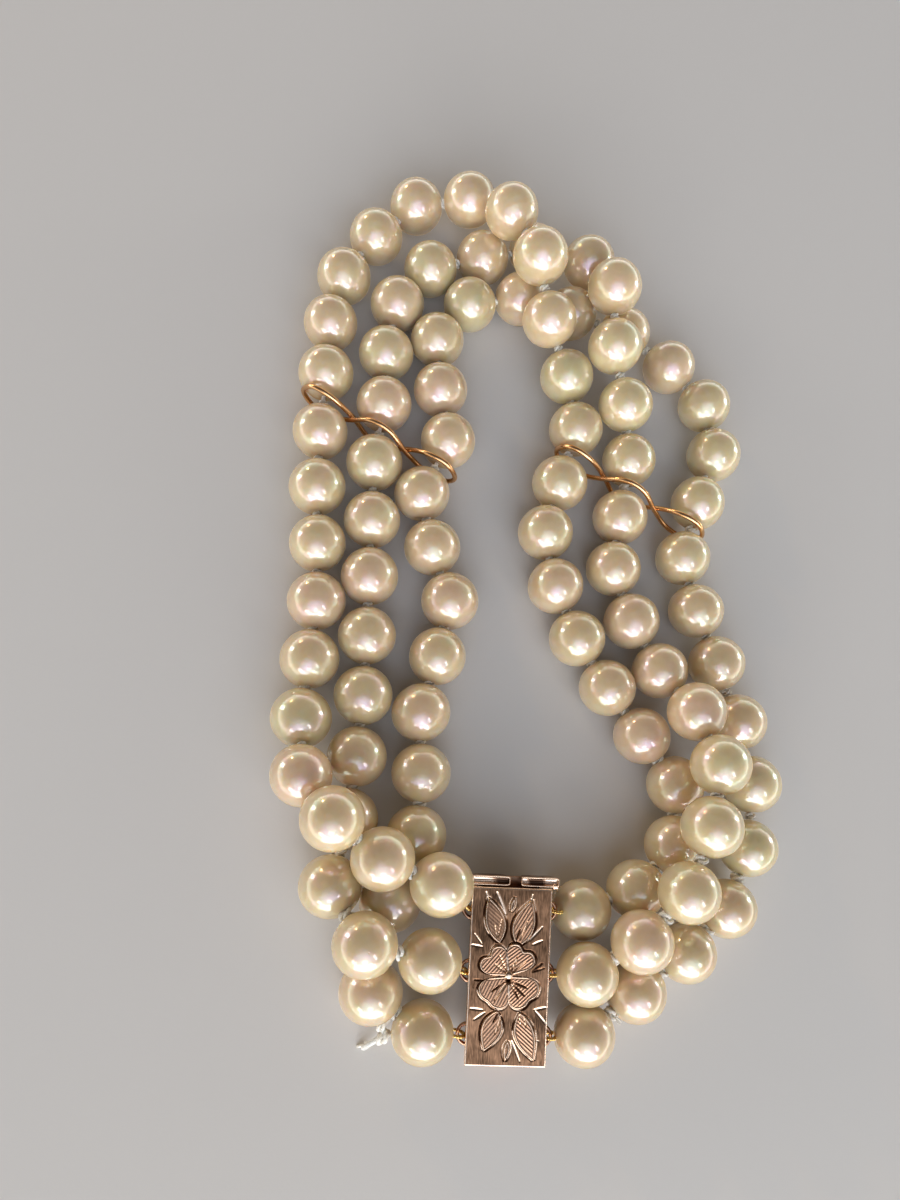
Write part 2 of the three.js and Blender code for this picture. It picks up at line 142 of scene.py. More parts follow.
def add_node(tree, kind, inputs=None, **settings):
    """Adds a node. inputs maps a socket's name or number to a value, or to a socket to link."""
    node = tree.nodes.new(kind)
    for key, value in settings.items():
        setattr(node, key, value)
    for key, value in (inputs or {}).items():
        if isinstance(value, bpy.types.NodeSocket):
            tree.links.new(value, node.inputs[key])
        else:
            node.inputs[key].default_value = value
    return node


def new_material(name):
    """An empty node material and its tree."""
    material = bpy.data.materials.new(name)
    material.use_nodes = True
    material.node_tree.nodes.clear()
    return material, material.node_tree


def surface(tree, sockets):
    """Ends a material's tree with one Principled surface."""
    shader = add_node(tree, "ShaderNodeBsdfPrincipled", sockets)
    add_node(tree, "ShaderNodeOutputMaterial", {"Surface": shader.outputs["BSDF"]})


def opaque(rgb):
    """A linear colour with full alpha."""
    return (*tuple(rgb)[:3], 1.0)


def ramp(tree, fac, stops):
    """A colour ramp with (place, linear colour) stops."""
    node = add_node(tree, "ShaderNodeValToRGB", {"Fac": fac})
    band = node.color_ramp
    band.elements[0].position, band.elements[0].color = stops[0][0], opaque(stops[0][1])
    band.elements[1].position, band.elements[1].color = stops[-1][0], opaque(stops[-1][1])
    for place, rgb in stops[1:-1]:
        band.elements.new(place).color = opaque(rgb)
    return node.outputs["Color"]


def object_place(tree):
    """Places in the piece's own metres."""
    return add_node(tree, "ShaderNodeTexCoord").outputs["Object"]


def attribute(tree, name, output="Fac"):
    """A number, or as Vector a vector, that the mesh stores at its points."""
    return add_node(tree, "ShaderNodeAttribute", attribute_name=name).outputs[output]


def noise(tree, place, scale, detail):
    """A noise whose patches are about 1 / scale wide."""
    sockets = {"Vector": place, "Scale": scale, "Detail": detail}
    return add_node(tree, "ShaderNodeTexNoise", sockets).outputs["Fac"]


def work_out(tree, operation, *values, clamp=False):
    """A calculation on numbers and sockets."""
    sockets = dict(enumerate(values))
    return add_node(tree, "ShaderNodeMath", sockets, operation=operation, use_clamp=clamp).outputs[0]


def remap(tree, value, old, new, shape="LINEAR"):
    """Moves a value from the old range (low, high) to the new one."""
    sockets = {"Value": value, "From Min": old[0], "From Max": old[1], "To Min": new[0], "To Max": new[1]}
    return add_node(tree, "ShaderNodeMapRange", sockets, interpolation_type=shape).outputs["Result"]


def mix(tree, share, first, second):
    """A mix of two colours."""
    return add_node(tree, "ShaderNodeMix", {0: share, 6: first, 7: second}, data_type="RGBA").outputs[2]


def bump(tree, height, strength, depth):
    """The normal of a relief that is depth metres deep."""
    sockets = {"Height": height, "Strength": strength, "Distance": depth}
    return add_node(tree, "ShaderNodeBump", sockets).outputs["Normal"]


def nacre():
    """Cultured pearl nacre, grown in thin layers and tumbled smooth.

    It scatters light a little under the surface, shines softly from its layers and sharply from
    its skin, and its overtone drifts between rose and green. Each pearl has its own tone.
    """
    finish = bpy.context.scene.bracelet_finishes
    material, tree = new_material("cultured_pearl_nacre")
    # Places on the nacre are in millimetres, and no two pearls have the same ones
    place = attribute(tree, "nacre_place", "Vector")
    drift = work_out(tree, "MULTIPLY_ADD", noise(tree, place, 0.35, 2.0), 0.7, -0.35)
    tone = work_out(tree, "ADD", attribute(tree, "tone"), drift, clamp=True)
    body = ramp(tree, tone, [(0.0, finish.green), (0.5, finish.cream), (1.0, finish.rose)])
    shade = remap(tree, noise(tree, place, 1.1, 3.0), (0.0, 1.0), (0.92, 1.06))
    tinted = add_node(tree, "ShaderNodeHueSaturation", {"Color": body, "Value": shade})
    # Layers 250 to 305 nm thick give the pink and green overtone
    layers = remap(tree, noise(tree, place, 0.7, 2.0), (0.3, 0.7), (250.0, 305.0))
    # Slow waves and a few pits, up to 0.035 mm deep
    wave = noise(tree, place, 0.9, 4.0)
    spots = add_node(tree, "ShaderNodeTexVoronoi", {"Vector": place, "Scale": 1.5}).outputs["Distance"]
    pit = remap(tree, spots, (0.0, 0.16), (-1.0, 0.0), "SMOOTHSTEP")
    marked = work_out(tree, "MULTIPLY", pit, attribute(tree, "flaw"))
    relief = work_out(tree, "MULTIPLY_ADD", wave, 1.2, marked)
    surface(
        tree,
        {
            "Base Color": tinted.outputs["Color"],
            "Roughness": 0.22,
            "IOR": 2.4,
            "Subsurface Weight": 0.8,
            "Subsurface Radius": (1.0, 0.62, 0.32),
            "Subsurface Scale": 1.8 * MM,
            "Sheen Weight": 0.9,
            "Sheen Roughness": 0.3,
            "Sheen Tint": opaque(linear("#FFDCA0")),
            "Coat Weight": 1.0,
            "Coat Roughness": 0.06,
            "Coat IOR": 1.7,
            "Thin Film Thickness": layers,
            "Thin Film IOR": 2.2,
            "Normal": bump(tree, relief, 1.0, 0.035 * MM),
        },
    )
    return material


def silk():
    """Twisted silk bead cord, matt and slightly fuzzy, with light between its plies."""
    finish = bpy.context.scene.bracelet_finishes
    material, tree = new_material("twisted_silk_cord")
    # Fibre bundles of about 0.12 mm
    fibre = noise(tree, object_place(tree), 8000.0, 2.0)
    dark = tuple(c * 0.72 for c in finish.silk)
    surface(
        tree,
        {
            "Base Color": ramp(tree, fibre, [(0.3, dark), (0.6, tuple(finish.silk))]),
            "Roughness": 0.55,
            "Subsurface Weight": 0.3,
            "Subsurface Radius": (1.0, 0.9, 0.8),
            "Subsurface Scale": 0.3 * MM,
            "Sheen Weight": 0.35,
            "Normal": bump(tree, fibre, 0.6, 0.06 * MM),
        },
    )
    return material


def polished_gold(name, base, roughness):
    """Drawn and polished gold wire or sheet, with faint handling scratches and a warm tarnish."""
    finish = bpy.context.scene.bracelet_finishes
    material, tree = new_material(name)
    place = object_place(tree)
    # Tarnish in patches of about 1.5 mm, and scratches about 0.08 mm apart
    patch = noise(tree, place, 650.0, 3.0)
    scratch = noise(tree, place, 12000.0, 2.0)
    dark = tuple(0.78 * c + 0.1 * p for c, p in zip(base, finish.patina))
    surface(
        tree,
        {
            "Base Color": ramp(tree, patch, [(0.35, dark), (0.6, tuple(base))]),
            "Metallic": 1.0,
            "Roughness": remap(tree, patch, (0.0, 1.0), (roughness * 1.5, roughness * 0.7)),
            "Normal": bump(tree, scratch, 0.25, 0.01 * MM),
        },
    )
    return material


def engraved_gold():
    """Rose gold sheet, brushed and then cut with a graver.

    The ground has a brown bloom, painted darker as shade, and fine brushing whose streaks are painted
    lighter and darker as reflection. The petals and leaves are hatched and painted lighter, highlights
    are painted on the graver's bright cuts, the rims and the edges, and tarnish stays in the outlines,
    with painted shadow in the hatching.
    """
    finish = bpy.context.scene.bracelet_finishes
    material, tree = new_material("engraved_rose_gold")
    place = object_place(tree)
    parts = add_node(tree, "ShaderNodeSeparateXYZ", {"Vector": attribute(tree, "hatch", "Vector")})
    line, lit_hatching = parts.outputs["X"], parts.outputs["Y"]
    # Along the outlines the tarnish comes and goes every 2 mm, and where it has gone a highlight is painted
    # on them
    cut = attribute(tree, "cut")
    kept = remap(tree, noise(tree, place, 480.0, 1.0), (0.42, 0.53), (-1.1, 1.0))
    tarnish = work_out(tree, "MAXIMUM", cut, 0.0)
    highlight_share = work_out(tree, "MINIMUM", cut, 0.0)
    depth = work_out(tree, "MULTIPLY_ADD", tarnish, kept, highlight_share)
    # Hatching, brushing about 0.1 mm apart and a bloom in patches of about 3.5 mm
    stripe = work_out(tree, "SINE", work_out(tree, "MULTIPLY", line, 2 * math.pi / HATCH_SPACING))
    hatched = work_out(tree, "MULTIPLY", stripe, lit_hatching)
    stretch = add_node(tree, "ShaderNodeMapping", {"Vector": place, "Scale": (9000.0, 1200.0, 1200.0)})
    brush = noise(tree, stretch.outputs["Vector"], 1.0, 3.0)
    patch = noise(tree, place, 280.0, 3.0)
    relief = work_out(tree, "MULTIPLY_ADD", hatched, 0.8, brush)
    # The ground is the bloom painted darker as shade, and its streaks are painted lighter and darker as
    # reflection
    painted_darker, painted_lighter = (tuple(share * c for c in finish.shaded_bloom) for share in (0.35, 2.0))
    streaks = add_node(tree, "ShaderNodeMix", {0: 0.45, 2: patch, 3: brush}).outputs[0]
    ground = ramp(tree, streaks, [(0.38, painted_darker), (0.5, tuple(finish.shaded_bloom)), (0.64, painted_lighter)])
    # Petals and leaves are painted lighter than the ground, as far as the hatch attribute's second value
    # says
    forms = mix(tree, lit_hatching, ground, opaque(finish.rose_gold))
    shadow = work_out(tree, "MULTIPLY", hatched, -0.65)
    # The patina's share: tarnish, and painted shadow in the hatching
    groove = work_out(tree, "MAXIMUM", depth, shadow, clamp=True)
    # Below zero the plate gets painted highlights in the bright gold
    painted_shine = work_out(tree, "MULTIPLY", depth, -1.0, clamp=True)
    stained_and_shaded = mix(tree, groove, forms, opaque(finish.patina))
    surface(
        tree,
        {
            "Base Color": mix(tree, painted_shine, stained_and_shaded, opaque(finish.painted_highlight_gold)),
            "Metallic": 1.0,
            "Roughness": remap(tree, depth, (-1.0, 0.5), (0.14, 0.38)),
            "Normal": bump(tree, relief, 0.8, 0.03 * MM),
        },
    )
    return material


def unit(vectors):
    """Vectors scaled to length 1 along their last axis."""
    return vectors / np.linalg.norm(vectors, axis=-1, keepdims=True)


def node_points(node):
    """The vertices of a CAD node, as an array."""
    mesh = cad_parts[node].data
    points = np.empty(len(mesh.vertices) * 3, np.float32)
    mesh.vertices.foreach_get("co", points)
    return points.reshape(-1, 3).astype(float)


def build_piece(name, points, faces, material, replaces=(), attributes=None, smooth=True):
    """Puts points and faces into a mesh, rides it on the frame and gives it its material.

    attributes maps a name to one number or one vector for each point.
    """
    mesh = bpy.data.meshes.new(name)
    mesh.from_pydata(points.reshape(-1, 3), [], [list(f) for f in faces])
    for key, values in (attributes or {}).items():
        values = np.asarray(values, np.float32)
        kind, field = ("FLOAT", "value") if values.ndim == 1 else ("FLOAT_VECTOR", "vector")
        mesh.attributes.new(key, kind, "POINT").data.foreach_set(field, values.ravel())
    mesh.polygons.foreach_set("use_smooth", np.full(len(mesh.polygons), smooth))
    mesh.materials.append(material)
    mesh.update()
    piece = bpy.data.objects.new(name, mesh)
    bpy.context.scene.collection.objects.link(piece)
    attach(piece, "root")
    if replaces:
        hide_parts(*replaces)
    return piece


def grid_faces(rows, columns, around=True, closed=False):
    """Quads of a grid of points. Columns join round if around, and rows too if closed."""
    row = np.arange(rows if closed else rows - 1)[:, None]
    column = np.arange(columns if around else columns - 1)[None, :]
    below, beside = (row + 1) % rows, (column + 1) % columns
    here, under = row * columns, below * columns
    corners = [here + column, here + beside, under + beside, under + column]
    return np.stack(np.broadcast_arrays(*corners), -1).reshape(-1, 4)


def caps(sides, last, count):
    """Triangles that close a row of rings at its two ends. Point number count closes the first
    ring, and the next point closes the ring that starts at point number last."""
    faces = [[(i + 1) % sides, i, count] for i in range(sides)]
    return faces + [[last + i, last + (i + 1) % sides, count + 1] for i in range(sides)]


def tube(path, reference, radius, closed=False):
    """A tube about a path. radius holds one row for each path point and one column for each side.

    Round each point of the path lies a ring at right angles to it: centre plus radius times
    (cos a, sin a) on two axes, the first of which leans towards the reference vector. An open
    tube gets one point at each end, which closes it.
    """
    path = np.asarray(path, float)
    if closed:
        along = unit(np.roll(path, -1, 0) - np.roll(path, 1, 0))
    else:
        along = unit(np.gradient(path, axis=0))
    reference = np.broadcast_to(reference, path.shape)
    first = unit(reference - along * (reference * along).sum(1, keepdims=True))
    second = np.cross(along, first)
    radius = np.broadcast_to(radius, (len(path), radius.shape[-1]))
    sides = radius.shape[1]
    angle = np.arange(sides) * 2 * np.pi / sides
    ring = np.cos(angle)[None, :, None] * first[:, None] + np.sin(angle)[None, :, None] * second[:, None]
    points = path[:, None] + radius[..., None] * ring
    points = points.reshape(-1, 3)
    faces = grid_faces(len(path), sides, closed=closed).tolist()
    if not closed:
        faces += caps(sides, len(points) - sides, len(points))
        points = np.vstack([points, path[:1], path[-1:]])
    return points, faces


def together(parts):
    """Several (points, faces) pairs as one."""
    points, faces, count = [], [], 0
    for part_points, part_faces in parts:
        points.append(part_points.reshape(-1, 3))
        faces += [[i + count for i in f] for f in part_faces]
        count += len(points[-1])
    return np.vstack(points), faces


def smooth_loop(points, steps):
    """A closed smooth curve through points: each stretch is a cubic whose slopes at its two ends
    are half the way from the point before to the point after."""
    p = np.asarray(points, float)
    before, after, later = np.roll(p, 1, 0), np.roll(p, -1, 0), np.roll(p, -2, 0)
    t = (np.arange(steps) / steps)[None, :, None]
    m0, m1 = (after - before)[:, None] / 2, (later - p)[:, None] / 2
    p0, p1 = p[:, None], after[:, None]
    curve = (2 * t**3 - 3 * t**2 + 1) * p0 + (t**3 - 2 * t**2 + t) * m0
    curve = curve + (3 * t**2 - 2 * t**3) * p1 + (t**3 - t**2) * m1
    return curve.reshape(-1, 3)


def clasp_frame():
    """The clasp's rotation, and the middle of its plate's top face, both read from the frame.

    Turned back into the clasp's own axes, its rings and plate reach equally far to both sides,
    and its lowest points are the box's height below the plate's top.
    """
    sizes = bpy.context.scene.bracelet_sizes
    turn = Matrix.Rotation(CLASP_TURN, 3, "Z") @ Matrix.Rotation(CLASP_LIFT, 3, "X")
    turn = np.array(turn @ Matrix.Rotation(CLASP_ROLL, 3, "Y"))
    own = node_points("clasp_box") @ turn
    low, high = own.min(0), own.max(0)
    middle = np.array([(low[0] + high[0]) / 2, (low[1] + high[1]) / 2, low[2] + sizes.clasp_height])
    return turn, turn @ middle


def to_clasp(points):
    """Points of the clasp's own axes, placed in the frame."""
    turn, middle = clasp_frame()
    return points @ turn.T + middle


def ring_hole(strand, side):
    """The middle of a ring's hole beside the clasp."""
    sizes = bpy.context.scene.bracelet_sizes
    wall = sizes.clasp_width / 2 - sizes.overhang
    out = wall + (sizes.ring_reach - sizes.ring_wire) / 2
    return to_clasp(np.array([side * out, (1 - strand) * sizes.ring_spacing, -sizes.clasp_height / 2]))


def pearl_centres(strand):
    """The centres of a strand's pearls, in order from the clasp's left side to its right side.

    A CAD pearl has its two poles straight above each other, one diameter apart, and nothing else
    on the strand has two points like that.
    """
    diameter = bpy.context.scene.bracelet_sizes.pearl
    points = np.unique(np.round(node_points(STRANDS[strand]), 7), axis=0)
    gap = np.linalg.norm(points[:, None] - [0, 0, diameter] - points[None], axis=2)
    centres = points[gap.min(1) < 0.004 * MM] - [0, 0, diameter / 2]
    apart = np.linalg.norm(centres[:, None] - centres[None], axis=2) < diameter / 4
    centres = centres[np.unique(np.argmax(apart, axis=1))]
    if len(centres) != PEARLS_PER_STRAND:
        raise RuntimeError(f"{STRANDS[strand]} has {len(centres)} pearls that can be read")
    order = [int(np.argmin(np.linalg.norm(centres - ring_hole(strand, -1), axis=1)))]
    while len(order) < len(centres):
        away = np.linalg.norm(centres - centres[order[-1]], axis=1)
        away[order] = np.inf
        order.append(int(np.argmin(away)))
    return centres[order]


def axes_along(direction):
    """Rotations whose third column is each direction, with the first as level as can be."""
    third = unit(direction)
    first = unit(np.cross(np.broadcast_to([0.0, 0.0, 1.0], third.shape), third))
    return np.stack([first, np.cross(third, first), third], -1)


# How pearls differ, in shares of the radius: their sizes, the most that one is squeezed, and the
# depths of the ripples and of the dimple at each hole
PEARL_SIZES = (0.985, 1.006)
PEARL_SQUEEZE = 0.025
PEARL_RIPPLE = 0.004
PEARL_DIMPLE = 0.06


def make_pearls(strand, material):
    """One strand's pearls.

    A pearl is a ball on a grid of angles, with its poles at the drill holes. Its radius is
    reduced by a few hundredths towards one random axis, by slow ripples, and by a round dimple
    at each hole.
    """
    sizes = bpy.context.scene.bracelet_sizes
    centres = pearl_centres(strand)
    chance = np.random.default_rng(40 + strand)
    ends = np.vstack([ring_hole(strand, -1), centres, ring_hole(strand, 1)])
    turned = axes_along(unit(ends[2:] - ends[1:-1]) + unit(ends[1:-1] - ends[:-2]))
    rows, columns = 25, 48
    polar = np.linspace(0, np.pi, rows + 2)[1:-1]
    spin = np.arange(columns) * 2 * np.pi / columns
    ball = np.stack(
        [
            np.sin(polar)[:, None] * np.cos(spin)[None],
            np.sin(polar)[:, None] * np.sin(spin)[None],
            np.cos(polar)[:, None] * np.ones(columns)[None],
        ],
        -1,
    ).reshape(-1, 3)
    ball = np.vstack([ball, [[0, 0, 1], [0, 0, -1]]])
    count = len(centres)
    squeeze = unit(chance.normal(size=(count, 3)))
    amount = chance.uniform(0.0, PEARL_SQUEEZE, (count, 1))
    ripple = chance.normal(size=(count, 3)) * 2.2
    phase = chance.uniform(0, 2 * np.pi, (count, 1))
    full = sizes.pearl / 2 * chance.uniform(*PEARL_SIZES, (count, 1))
    lean = (squeeze @ ball.T) ** 2
    waves = PEARL_RIPPLE * (1 + np.sin(ripple @ ball.T + phase))
    across = np.hypot(ball[:, 0], ball[:, 1]) * sizes.pearl / sizes.hole
    dimple = PEARL_DIMPLE * np.exp(-(across**2))[None]
    radius = full * (1 - amount * lean - waves - dimple)
    local = radius[..., None] * ball[None]
    points = np.einsum("kij,kmj->kmi", turned, local) + centres[:, None]
    faces = grid_faces(rows, columns).tolist() + caps(columns, (rows - 1) * columns, rows * columns)
    faces = [f[::-1] for f in faces]
    points, faces = together([(p, faces) for p in points])
    each = len(ball)
    offset = chance.uniform(-40, 40, (count, 1, 3))
    place = local / MM + offset
    tone = np.clip(chance.normal(0.5, 0.14, count), 0, 1)
    flaw = np.clip(chance.normal(0.1, 0.3, count), 0, 1)
    return build_piece(
        f"pearls_{strand + 1}",
        points,
        faces,
        material,
        replaces=[STRANDS[strand]],
        attributes={
            "tone": np.repeat(tone, each),
            "flaw": np.repeat(flaw, each),
            "nacre_place": place.reshape(-1, 3),
        },
    )


def knot_shape():
    """An overhand knot drawn tight, one unit wide, with its thread along the third axis.

    Its line winds twice round the thread while it swings three times in and out, and a round
    tube follows that line.
    """
    steps, thick = 40, 0.95
    t = np.arange(steps) * 2 * np.pi / steps
    swing = 2 + np.cos(3 * t)
    core = np.stack([2 * np.cos(2 * t), 2 * np.sin(2 * t), 0 * t], -1)
    line = np.stack([swing * np.cos(2 * t), swing * np.sin(2 * t), 1.25 * np.sin(3 * t)], -1)
    points, faces = tube(line, unit(line - core), np.full((steps, 6), thick), closed=True)
    return points / (2 * (3 + thick)), faces


def ply(steps, sides, radius, turns):
    """Radii of a two-ply thread: an ellipse that turns as it goes along."""
    along = np.linspace(0, 1, steps)[:, None]
    angle = np.arange(sides)[None] * 2 * np.pi / sides
    return radius * (1 + 0.16 * np.cos(2 * (angle - 2 * np.pi * turns * along)))


# Silk between two pearls: its ends' distance from the pearls' centres in diameters, the farthest
# that a knot's middle lies from its pearl, and the knots' widths as shares of the usual one
THREAD_START = 0.4
KNOT_AWAY = 0.35 * MM
DOUBLED_KNOT = 1.4
SINGLE_KNOT = 1.05

# Loose silk lies on the surface, with its middle this far above it
LOWEST_SILK = 0.15 * MM

# Loose ends of silk: strand, gap, direction and length in millimetres
TAILS = (
    (1, 0, (-0.80, -0.50, 0.35), 1.3),
    (0, 1, (-0.45, 0.85, 0.30), 1.2),
    (0, 27, (0.85, 0.30, 0.40), 1.6),
    (1, 28, (0.90, 0.20, 0.35), 1.5),
    (2, 29, (0.75, -0.55, 0.25), 1.2),
)

# The tied-off end: its strand and gap, its line in millimetres from that gap's knot, the sizes of
# its two knots as shares of a usual one, and the length of its tail in millimetres
KNOTTED_END = (2, 0)
KNOTTED_LINE = ((-0.2, -0.3, -0.2), (-1.35, -1.20, -0.5), (-1.15, -2.40, -1.2), (-3.0, -3.7, -2.6))
KNOTTED_SHARES = (1.3, 1.7)
KNOTTED_TAIL = 2.4


def make_thread(strand, material):
    """One strand's silk: a twisted thread from pearl to pearl, with a knot beside each pearl.

    The knots next to the clasp, which a stringer ties doubled, are drawn larger.
    """
    sizes = bpy.context.scene.bracelet_sizes
    centres = pearl_centres(strand)
    shape, shape_faces = knot_shape()
    chance = np.random.default_rng(60 + strand)
    step = centres[1:] - centres[:-1]
    along = unit(step)
    room = np.linalg.norm(step, axis=1) - sizes.pearl
    inside = sizes.pearl * THREAD_START
    parts = []
    for i, (axes, free) in enumerate(zip(axes_along(along), room)):
        path = centres[i] + np.outer(np.linspace(inside, sizes.pearl + free - inside, 14), along[i])
        parts.append(tube(path, axes[:, 0], ply(14, 8, sizes.thread / 2, 3.0)))
        middle = centres[i] + along[i] * (sizes.pearl / 2 + min(free / 2, KNOT_AWAY))
        doubled = min(i, len(room) - 1 - i) < 4
        wide = sizes.knot * (DOUBLED_KNOT if doubled else SINGLE_KNOT) * chance.uniform(0.92, 1.1)
        spin = chance.uniform(0, 2 * np.pi)
        cos, sin = math.cos(spin), math.sin(spin)
        own = shape @ np.array([[cos, sin, 0], [-sin, cos, 0], [0, 0, 1]])
        parts.append((own * wide @ axes.T + middle, shape_faces))
        for tail_strand, tail_gap, way, size in TAILS:
            if (tail_strand, tail_gap) == (strand, i):
                parts += loose_ends(middle, np.array(way), size * MM, sizes.thread * 0.32, chance)
        if (strand, i) == KNOTTED_END:
            parts += knotted_end(middle, axes, chance)
    points, faces = together(parts)
    return build_piece(f"silk_thread_{strand + 1}", points, faces, material)


def loose_ends(start, way, size, thin, chance):
    """Three fine plies of a cut thread end. Each is a tube that runs along one direction, drifts
    aside with the square of its way and waves a little, and it thins out towards its tip."""
    parts = []
    t = np.linspace(0, 1, 14)[:, None]
    way = unit(way)
    for _ in range(3):
        aside, wave = chance.normal(0, 0.28, 3), chance.normal(0, 0.04, 3)
        path = start + size * (t * way + t**2 * aside + np.sin(7 * t) * wave * t)
        path[:, 2] = np.maximum(path[:, 2], LOWEST_SILK)
        parts.append(tube(path, [0.1, 0.2, 1.0], thin * (1 - 0.6 * t) * np.ones((1, 6))))
    return parts


def knotted_end(start, axes, chance):
    """A thick doubled thread with two knots on it, which ends in a short frayed tail."""
    sizes = bpy.context.scene.bracelet_sizes
    line = start + np.array(KNOTTED_LINE) * MM
    shape, faces = knot_shape()
    parts = [tube(line, [0.3, 0.4, 1.0], np.full((len(line), 8), sizes.thread * 0.62))]
    for middle, share in zip(line[1:], KNOTTED_SHARES):
        parts.append((shape * sizes.knot * share @ axes.T + middle, faces))
    return parts + loose_ends(line[2], line[3] - line[2], KNOTTED_TAIL * MM, sizes.thread * 0.75, chance)


# The wound loops: their windings, the depth of the grooves between those as a share of the
# radius, and how far a loop reaches into the end pearl's hole
WINDINGS = 24
WINDING_GROOVE = 0.14
LOOP_BITE = 0.3 * MM


def make_loops(material):
    """The loops of wound wire at the clasp.

    Each is a tube on an ellipse that stands upright between the ring and the end pearl. Its
    radius swells and shrinks along a helix, as wire that is wound round a thread does.
    """
    sizes = bpy.context.scene.bracelet_sizes
    turn, _ = clasp_frame()
    parts = []
    for strand in range(len(STRANDS)):
        centres = pearl_centres(strand)
        for side, pearl in ((-1, centres[0]), (1, centres[-1])):
            hole = ring_hole(strand, side)
            outward = pearl - hole
            half = (np.linalg.norm(outward) - sizes.pearl / 2 + LOOP_BITE) / 2
            outward = unit(outward)
            rise = unit(turn[:, 2] - outward * (turn[:, 2] @ outward))
            steps, sides = 192, 8
            t = np.arange(steps)[:, None] * 2 * np.pi / steps
            swing = half * np.cos(t) * outward + sizes.loop_width / 2 * np.sin(t) * rise
            path = hole + outward * half + swing
            angle = np.arange(sides)[None] * 2 * np.pi / sides
            radius = sizes.loop_wire / 2 * (1 + WINDING_GROOVE * (np.cos(WINDINGS * t + angle) - 1))
            parts.append(tube(path, np.cross(outward, rise), radius, closed=True))
    points, faces = together(parts)
    return build_piece("wound_loops", points, faces, material)


def make_spacer(index, material):
    """One spacer: a wire bent into three eyes, out and back, that crosses itself between them.

    Its line is a smooth closed curve through two points above and two below each thread, one on
    each side of every crossing, and the two ends.
    """
    sizes = bpy.context.scene.bracelet_sizes
    after = SPACERS_AFTER[index]
    threads = []
    for strand in range(len(STRANDS)):
        centres = pearl_centres(strand)
        threads.append((centres[after - 1] + centres[after]) / 2)
    middle = (threads[0] + threads[-1]) / 2
    along = threads[-1] - threads[0]
    along = unit(np.array([along[0], along[1], 0.0]))
    side = np.array([-along[1], along[0], 0.0])
    up = np.array([0.0, 0.0, 1.0])
    wire = sizes.spacer_wire
    rise = (sizes.eye_height - wire) / 2
    # An eye is flat on top for a third of the spacing, and the wires cross side by side
    top = sizes.eye_spacing * 0.17
    beside = wire * 0.45
    reach = sizes.eye_spacing + sizes.eye_reach - wire / 2
    out, back = [(-reach, 0, 0)], [(reach, 0, 0)]
    for eye in (-1, 0, 1):
        x = eye * sizes.eye_spacing
        over = rise if eye % 2 else -rise
        out += [(x - top, 0, over), (x + top, 0, over)]
        back += [(-x + top, 0, -over), (-x - top, 0, -over)]
        if eye < 1:
            out.append((x + sizes.eye_spacing / 2, beside, 0))
            back.append((-x - sizes.eye_spacing / 2, -beside, 0))
    own = np.array(out + back)
    path = smooth_loop(middle + own @ np.array([along, side, up]), 14)
    points, faces = tube(path, side, np.full((len(path), 12), wire / 2), closed=True)
    return build_piece(
        SPACERS[index] + "_wire", points, faces, material, replaces=[SPACERS[index]]
    )


# The engraving, charted in millimetres from the middle of the plate, with y towards the tongue.
# Petals: direction in degrees, length, half its spread in degrees, depth of the cleft as a share,
# how far it is painted lighter and hatched, and the direction across its hatching in degrees
PETALS = (
    (136, 3.15, 44, 0.16, 0.9, 140),
    (60, 3.2, 43, 0.14, 0.85, 128),
    (232, 3.35, 46, 0.05, 0.65, 155),
    (313, 3.4, 46, 0.07, 1.0, 135),
)

# Leaves: base, tip, how far the left and right edges swell from the line between them, how far
# it is painted lighter and hatched, and the direction across its hatching in degrees
LEAVES = (
    ((-1.05, 3.2), (-2.35, 7.6), 0.85, 1.1, 0.25, 50),
    ((0.75, 2.9), (2.0, 7.5), 1.15, 1.0, 0.6, 150),
    ((-1.0, -3.2), (-2.15, -7.1), 1.1, 0.95, 0.5, 140),
    ((1.15, -3.3), (2.75, -7.9), 0.85, 1.1, 0.9, 50),
    ((-0.05, 6.2), (0.25, 7.7), 0.22, 0.22, 0.2, 60),
    ((0.15, -6.0), (-0.05, -8.0), 0.35, 0.3, 0.3, 60),
)

